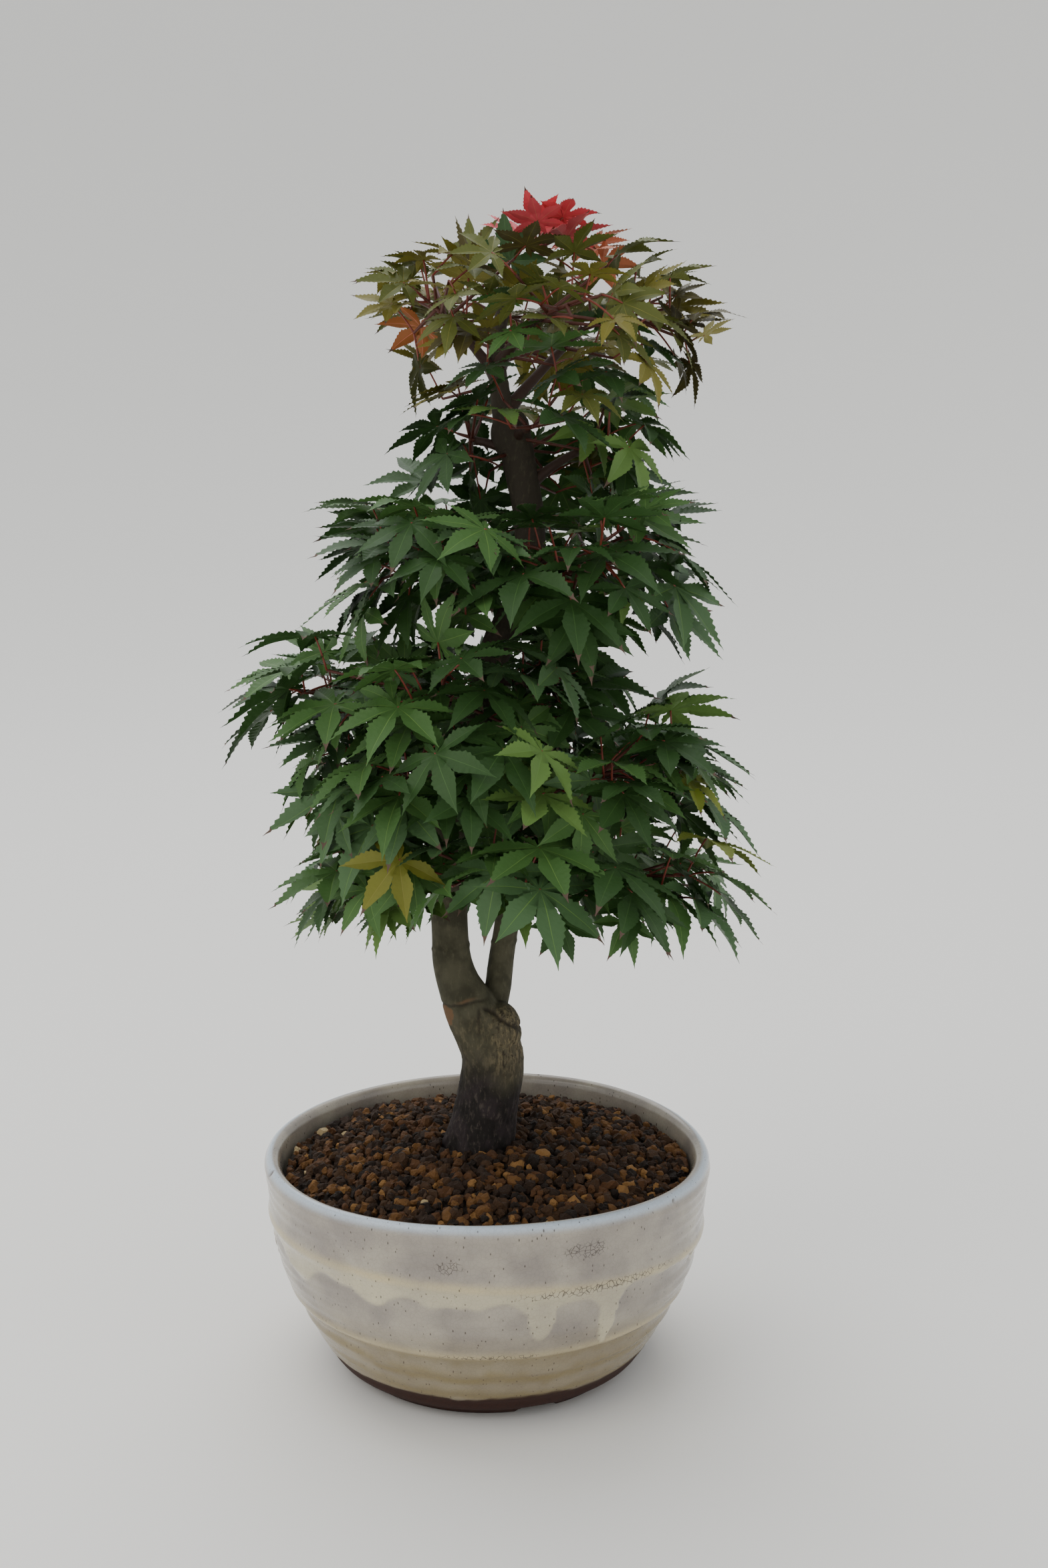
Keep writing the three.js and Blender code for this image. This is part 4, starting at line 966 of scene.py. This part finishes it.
def is_in_space(leaf, lines, mass):
    """Whether a leaf keeps to its mass's share of the tier, under the dome and above the bare trunk."""
    tier, azimuth = mass["tier"], math.radians(mass["azimuth"])
    tips, spots = lines[len(LOBE_ENDS):-1, 1], lines[:-1].reshape(-1, 3)
    straight = np.array([math.cos(azimuth), math.sin(azimuth), 0])
    spill = math.cos(math.radians(min(180, mass["half_angle"] + SPILL)))
    reach = np.hypot(tips[:, 0] - tier["middle"], tips[:, 1])
    narrower = NARROWING * np.clip(tier["level"] - tips[:, 2], 0, None) * (tier["name"] == "crown")
    floor = LOWEST_LEAF[0] - LOWEST_LEAF[1] * tips[:, 1]
    low, high = (np.array(corner) / MM for corner in cad_box)
    before_stem = [
        (np.abs(spots[:, 0] - x) < wide) & (np.abs(spots[:, 2] - z) < tall) & (spots[:, 1] < 0)
        for x, z, wide, tall in BARE_STEMS
    ]
    return (
        out_of(tier, leaf["middle"]) @ straight > spill
        and leaf["stalk"] @ leaf["midrib"] > BLADE_TURN
        and (reach < tier["reach"] + 0.5 - narrower).all()
        and ((tips[:, 2] > floor) & (tips[:, 2] < highest_leaf(tips))).all()
        and not np.any(before_stem)
        and ((tips > low) & (tips < high)).all()
    )


def steps_of(line):
    """The straight segments between the points of a line."""
    return np.stack([line[:-1], line[1:]], axis=1)


def limb_lines():
    """The stems' skins as four lines each, and the boughs, shoots and twigs, all as straight segments."""
    segments = [[[twig["start"], twig["end"]]] for mass in masses for twig in mass["twigs"]]
    segments += [[[mass["root"], mass["heart"]]] for mass in masses]
    segments += [steps_of(mass["path"][::4]) for mass in borne]
    for stations in (MAIN_STEM, SECOND_STEM, LEADER, STUB):
        path, radius = through(stations, 3 * len(stations))
        for angle in np.arange(4) * math.pi / 2:
            segments.append(steps_of(path + around(radius, angle, 0)))
    return np.concatenate(segments)


def stands_free(own, lines, standing, lines_of):
    """Whether a leaf passes through none of the leaves that stand, and none of them through it."""
    apart = np.linalg.norm(standing["middle"] - own["middle"], axis=1)
    near = np.flatnonzero(apart < standing["size"] + own["size"])
    if (apart < LEAVES_APART).any():
        return False
    if not len(near):
        return True
    others = {key: values[near] for key, values in standing.items()}
    return not pierced(others, lines) and not pierced(own, np.concatenate([lines_of[k] for k in near]))


def settle_leaves():
    """Tries the leaves, one from each mass in turn and the leading ones first. A leaf stays if it's in its
    space and no lobe, stalk or limb passes through another; where it doesn't fit, it's tried turned or
    smaller."""
    limbs = limb_lines()
    kept, lines_of = [], []
    standing = {key: np.zeros((0, 3)) for key in AXES} | {"size": np.zeros(0), "bend": np.zeros(0)}
    queues = [
        [(mass, twig, leaf) for twig in mass["twigs"] for leaf in twig["leaves"]][::-1] for mass in masses
    ]
    for entry in filter(None, itertools.chain(*itertools.zip_longest(*queues))):
        mass, _, leaf = entry
        full, midrib, normal = leaf["size"], leaf["midrib"], leaf["normal"]
        for share, roll, pitch in TRIES:
            leaf["size"] = full * share
            leaf["side"] = np.cross(turned(normal, midrib, math.radians(roll)), midrib)
            leaf["midrib"] = turned(midrib, leaf["side"], math.radians(pitch))
            leaf["normal"] = np.cross(leaf["midrib"], leaf["side"])
            lines = leaf_lines(leaf)
            own = {key: np.array([leaf[key]]) for key in standing}
            if not is_in_space(leaf, lines, mass) or pierced(own, limbs):
                continue
            if stands_free(own, lines, standing, lines_of):
                kept.append(entry)
                lines_of.append(lines)
                standing = {key: np.concatenate([standing[key], own[key]]) for key in standing}
                break
    return kept


leaves = settle_leaves()


# Tints: name, colour, shine and the tint of its veins
TINTS = {
    "deep_green": ("#2E4B22", 0.5, "dark_vein"),
    "leaf_green": ("#436531", 0.52, "pale_vein"),
    "blue_green": ("#47653E", 0.48, "pale_vein"),
    "fresh_green": ("#5B7A3A", 0.52, "pale_vein"),
    "yellow_green": ("#75812B", 0.5, "gold_vein"),
    "yellow_leaf": ("#6E6F26", 0.5, "gold_vein"),
    "olive": ("#565C26", 0.5, "gold_vein"),
    "olive_gold": ("#736D29", 0.5, "gold_vein"),
    "bronze": ("#524B26", 0.5, "gold_vein"),
    "rust": ("#94572D", 0.5, "red_vein"),
    "salmon": ("#CC7A58", 0.5, "red_vein"),
    "crimson": ("#D2525C", 0.5, "red_vein"),
    "dark_vein": ("#41612F", 0.5, None),
    "pale_vein": ("#648542", 0.5, None),
    "gold_vein": ("#7E7A38", 0.5, None),
    "red_vein": ("#D07A68", 0.5, None),
    "dry_tip": ("#5E4C42", 0.8, None),
}
PALETTES = {  # the chance of each tint in a tier
    "skirt": {"deep_green": 0.28, "leaf_green": 0.4, "blue_green": 0.24, "fresh_green": 0.06},
    "lower": {"deep_green": 0.34, "leaf_green": 0.36, "blue_green": 0.26, "fresh_green": 0.04},
    "middle": {"deep_green": 0.44, "leaf_green": 0.32, "blue_green": 0.2, "fresh_green": 0.04},
    "upper": {"deep_green": 0.45, "leaf_green": 0.35, "blue_green": 0.15, "fresh_green": 0.05},
    # Painted shade: the neck's leaves are mostly deep green, darker than the tiers below, as they stand
    # backlit under the crown
    "neck": {"deep_green": 0.7, "leaf_green": 0.2, "olive": 0.05, "fresh_green": 0.05},
    "crown": {"olive": 0.48, "olive_gold": 0.32, "bronze": 0.16, "rust": 0.02, "deep_green": 0.02},
    "crown_foot": {"olive": 0.36, "leaf_green": 0.24, "deep_green": 0.26, "olive_gold": 0.14},
    "tuft": {"salmon": 0.1, "crimson": 0.9},
    "tuft_right": {"salmon": 0.85, "crimson": 0.15},
}
SPRAY_SHARE = 0.6  # how many leaves of a spray share its tint
DRY_SHARE = 0.35
CROWN_FOOT = (364, 396)  # between these heights the neck's and the crown's leaves take both their colours
TUFT_RIGHT = 32  # right of this the tuft's leaves are salmon
TURNED = {  # the leaves nearest to these places have turned
    (-36, -72, 190): "yellow_leaf", (92, -35, 222): "yellow_green", (84, -20, 236): "yellow_green",
    (62, -35, 374): "olive_gold", (15, -40, 369): "fresh_green", (-80, 10, 215): "yellow_green",
    (19, -5, 437): "crimson", (29, -9, 438): "crimson", (20, -16, 435): "crimson",
}


def leaf_skin(name, tint, gloss):
    """A maple leaf's skin: thin, leathery and a little waxy, puckered between its finest veins."""
    inputs = {"Base Color": linear(tint), "IOR": 1.42, "Specular IOR Level": 0.36}
    material, tree, shader = new_material(f"maple_leaf_{name}", inputs)
    place = add_node(tree, "TexCoord", "Object", {})
    net = add_node(tree, "TexVoronoi", "Distance", {"Vector": place, "Scale": per_metre(1.7)})
    cloud = add_node(tree, "TexNoise", "Fac", {"Vector": place, "Scale": per_metre(8), "Detail": 3})
    bump = {"Height": net, "Strength": 0.35, "Distance": 0.25 * MM}
    shine = {"Value": cloud, "To Min": gloss - 0.12, "To Max": gloss + 0.18}
    set_inputs(shader, {
        "Normal": add_node(tree, "Bump", "Normal", bump),
        "Roughness": add_node(tree, "MapRange", "Result", shine),
    })
    return material


def blades(group, random):
    """All the blades of a group at once, from the flat leaf. A lobe sways about the hub, arches down with the
    square of its distance out, folds up from its midrib and is pleated towards its teeth."""
    count, lobe = len(group), LEAF_POINTS[:, 2].astype(int)
    keys = (*AXES, "size", "bend", "fold")
    middle, midrib, side, normal, size, bend, fold = (
        np.array([leaf[key] for leaf in group])[:, None] for key in keys
    )
    sway = np.radians(random.uniform(-SWAY, SWAY, (count, len(LOBE_ENDS))))[:, lobe] * (lobe >= 0)
    arch = np.where(lobe >= 0, random.uniform(*ARCH, (count, len(LOBE_ENDS)))[:, lobe], 1)
    flat_x, flat_y, _, off, pleat = LEAF_POINTS.T
    x = flat_x * np.cos(sway) - flat_y * np.sin(sway)
    y = flat_x * np.sin(sway) + flat_y * np.cos(sway)
    far = np.hypot(x, y)
    z = fold * off + pleat - bend * arch * far**2 + 0.012 * np.sin(9 * far + 7 * arch) * far
    x, y, z = ((size * value)[..., None] for value in (x, y, z))
    points = middle + x * midrib + y * side + z * normal
    first = len(LEAF_POINTS) * np.arange(count)[:, None, None]
    faces = [(part + first).reshape(-1, part.shape[1]) for part in (HUB_FACES, LADDER_FACES)]
    return points.reshape(-1, 3), faces


def blade_slots(group, random, order):
    """Every face's material: the leaf's tint, its veins' on each midrib, and dry points on some lobes."""
    tint = np.array([order.index(leaf["tint"]) for leaf in group])[:, None]
    vein = np.array([order.index(TINTS[leaf["tint"]][2]) for leaf in group])[:, None]
    lobe, is_rib, is_tip = LADDER_KIND.T
    dry = (random.random((len(group), len(LOBE_ENDS))) < DRY_SHARE)[:, lobe] & (is_tip == 1)
    ladders = np.where(dry, order.index("dry_tip"), np.where(is_rib, vein, tint))
    return np.concatenate([np.where(HUB_RIB, vein, tint).ravel(), ladders.ravel()])


def deal_tints(random):
    """Deals a tint to each spray from its tier's palette, and to some of its leaves another; the crown's foot
    and the tuft's right have palettes of their own. Then come the single leaves that have turned."""
    for mass in masses:
        for twig in mass["twigs"]:
            palette = mass["tier"]["name"]
            if palette in ("neck", "crown") and CROWN_FOOT[0] < twig["end"][2] < CROWN_FOOT[1]:
                palette = "crown_foot"
            if palette == "tuft" and twig["end"][0] > TUFT_RIGHT:
                palette = "tuft_right"
            names, chances = zip(*PALETTES[palette].items())
            chances = np.array(chances) / sum(chances)
            spray = random.choice(names, p=chances)
            for leaf in twig["leaves"]:
                alone = random.choice(names, p=chances)
                leaf["tint"] = str(spray if random.random() < SPRAY_SHARE else alone)
    for spot, tint in TURNED.items():
        _, _, nearest = min(leaves, key=lambda entry: np.linalg.norm(entry[2]["middle"] - spot))
        nearest["tint"] = tint


deal_tints(np.random.default_rng(12))
skins = [leaf_skin(name, tint, gloss) for name, (tint, gloss, _) in TINTS.items()]
for tier in TIERS:
    group = [leaf for mass, _, leaf in leaves if mass["tier"] is tier]
    seed = len(group)
    points, faces = blades(group, np.random.default_rng(seed))
    slots = blade_slots(group, np.random.default_rng(seed + 1), list(TINTS))
    piece = new_piece(f"leaves_of_{tier['name']}", points, faces, skins, slots)
    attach(piece, "root")
    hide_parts(*[f"leaves_{mass['name']}" for mass in masses if mass["tier"] is tier])


# The twigs and stalks are made now that it's known which of them bear leaves.


def limbs_between(starts, ends, bow, rows, radii, sides):
    """Limbs from starts to ends that bow upward by a share of their length and taper between two radii."""
    t = np.linspace(0, 1, rows)[None, :, None]
    length = np.linalg.norm(ends - starts, axis=1)[:, None, None]
    paths = lerp(starts[:, None], ends[:, None], t) + UP * bow * length * 4 * t * (1 - t)
    return tubes(paths, np.tile(np.linspace(*radii, rows), (len(starts), 1)), sides)


bearing = {}  # the length, start and last leaf's foot of each twig that bears leaves
for _, twig, leaf in leaves:
    span = np.linalg.norm(leaf["root"] - twig["start"])
    if span > bearing.get(id(twig), (0,))[0]:
        bearing[id(twig)] = (span, twig["start"], leaf["root"])
roots, hearts = (np.array([mass[key] for mass in masses]) for key in ("root", "heart"))
starts, ends = (np.array([twig[k] for twig in bearing.values()]) for k in (1, 2))
twig_mesh = joined([
    limbs_between(roots, hearts, bow=0, rows=5, radii=STEM_RADIUS, sides=8),
    limbs_between(starts, ends, bow=0, rows=7, radii=TWIG_RADIUS, sides=7),
])
roots, middles = (np.array([leaf[key] for _, _, leaf in leaves]) for key in ("root", "middle"))
stalk_mesh = limbs_between(roots, middles, bow=0.05, rows=6, radii=STALK_RADIUS, sides=6)
twigs = new_piece("twigs", *twig_mesh, [young_bark("wine_brown_twig", "#54291F", 0.5)])
stalks = new_piece("leaf_stalks", *stalk_mesh, [young_bark("red_leaf_stalk", "#7A3426", 0.4)])
for piece in (twigs, stalks):
    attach(piece, "root")


# The studio: a pale floor that rises round the edge, soft lights like an overcast sky, and the camera where
# the photograph was taken from, a little above the pot and to the right of it.
FLOOR_RADIUS_M = 2.2
FLOOR_RISE_M = 2.6
CAMERA_PLACE = (14.55, -624.4, 319.3)
CAMERA_PITCH = 8.205
CAMERA_LENS = 37.46


def floor_dish():
    """A round floor, level in the middle and curved up at the rim like a photographer's paper."""
    bend = np.radians(np.linspace(0, 80, 12))
    radius = np.concatenate([[0.01, 0.5, 1.2], FLOOR_RADIUS_M + FLOOR_RISE_M * np.sin(bend)])
    height = np.concatenate([[0, 0, 0], FLOOR_RISE_M * (1 - np.cos(bend))])
    angle = np.linspace(0, 2 * math.pi, COARSE_COLUMNS, endpoint=False)
    points = around(radius[:, None], angle, height[:, None]) / MM
    faces = grid_faces(len(radius), len(angle), closed_columns=True)[:, ::-1]
    return points.reshape(-1, 3), [faces, np.arange(len(angle))[None]]


def add_to_scene(name, data, place, turn):
    """Adds a light or a camera to the scene."""
    thing = bpy.data.objects.new(name, data)
    thing.location = place
    thing.rotation_euler = turn
    bpy.context.scene.collection.objects.link(thing)
    return thing


# Matt paper, warm white
paper, _, _ = new_material("pale_paper", {"Roughness": 0.9, "Base Color": linear("#F3F1ED")})
floor = new_piece("floor", *floor_dish(), [paper])
panel = bpy.data.lights.new("sky_left", "AREA")
panel.size = 1.2
panel.energy = 9
panel.color = linear("#FFFAF0")[:3]
panel_place = np.array([-1.1, -0.9, 1.5])
aim = [0, 0, 0.22] - panel_place  # at the middle of the tree
panel_pitch = math.atan2(math.hypot(aim[0], aim[1]), -aim[2])
add_to_scene("sky_left", panel, panel_place, (panel_pitch, 0, math.atan2(aim[1], aim[0]) - math.pi / 2))
sun = bpy.data.lights.new("high_cloud", "SUN")
sun.energy = 1.7
sun.angle = math.radians(60)
add_to_scene("high_cloud", sun, (0, 0, 0), (math.radians(-28), math.radians(-12), 0))
world = bpy.data.worlds.new("overcast")
world.use_nodes = True
set_inputs(world.node_tree.nodes["Background"], {"Color": linear("#EEF2F5"), "Strength": 0.85})
bpy.context.scene.world = world
lens = bpy.data.cameras.new("camera")
lens.lens = CAMERA_LENS
lens.sensor_width = 36
lens.clip_start = 0.01
camera_turn = (math.radians(90 - CAMERA_PITCH), 0, 0)
bpy.context.scene.camera = add_to_scene("camera", lens, np.array(CAMERA_PLACE) * MM, camera_turn)
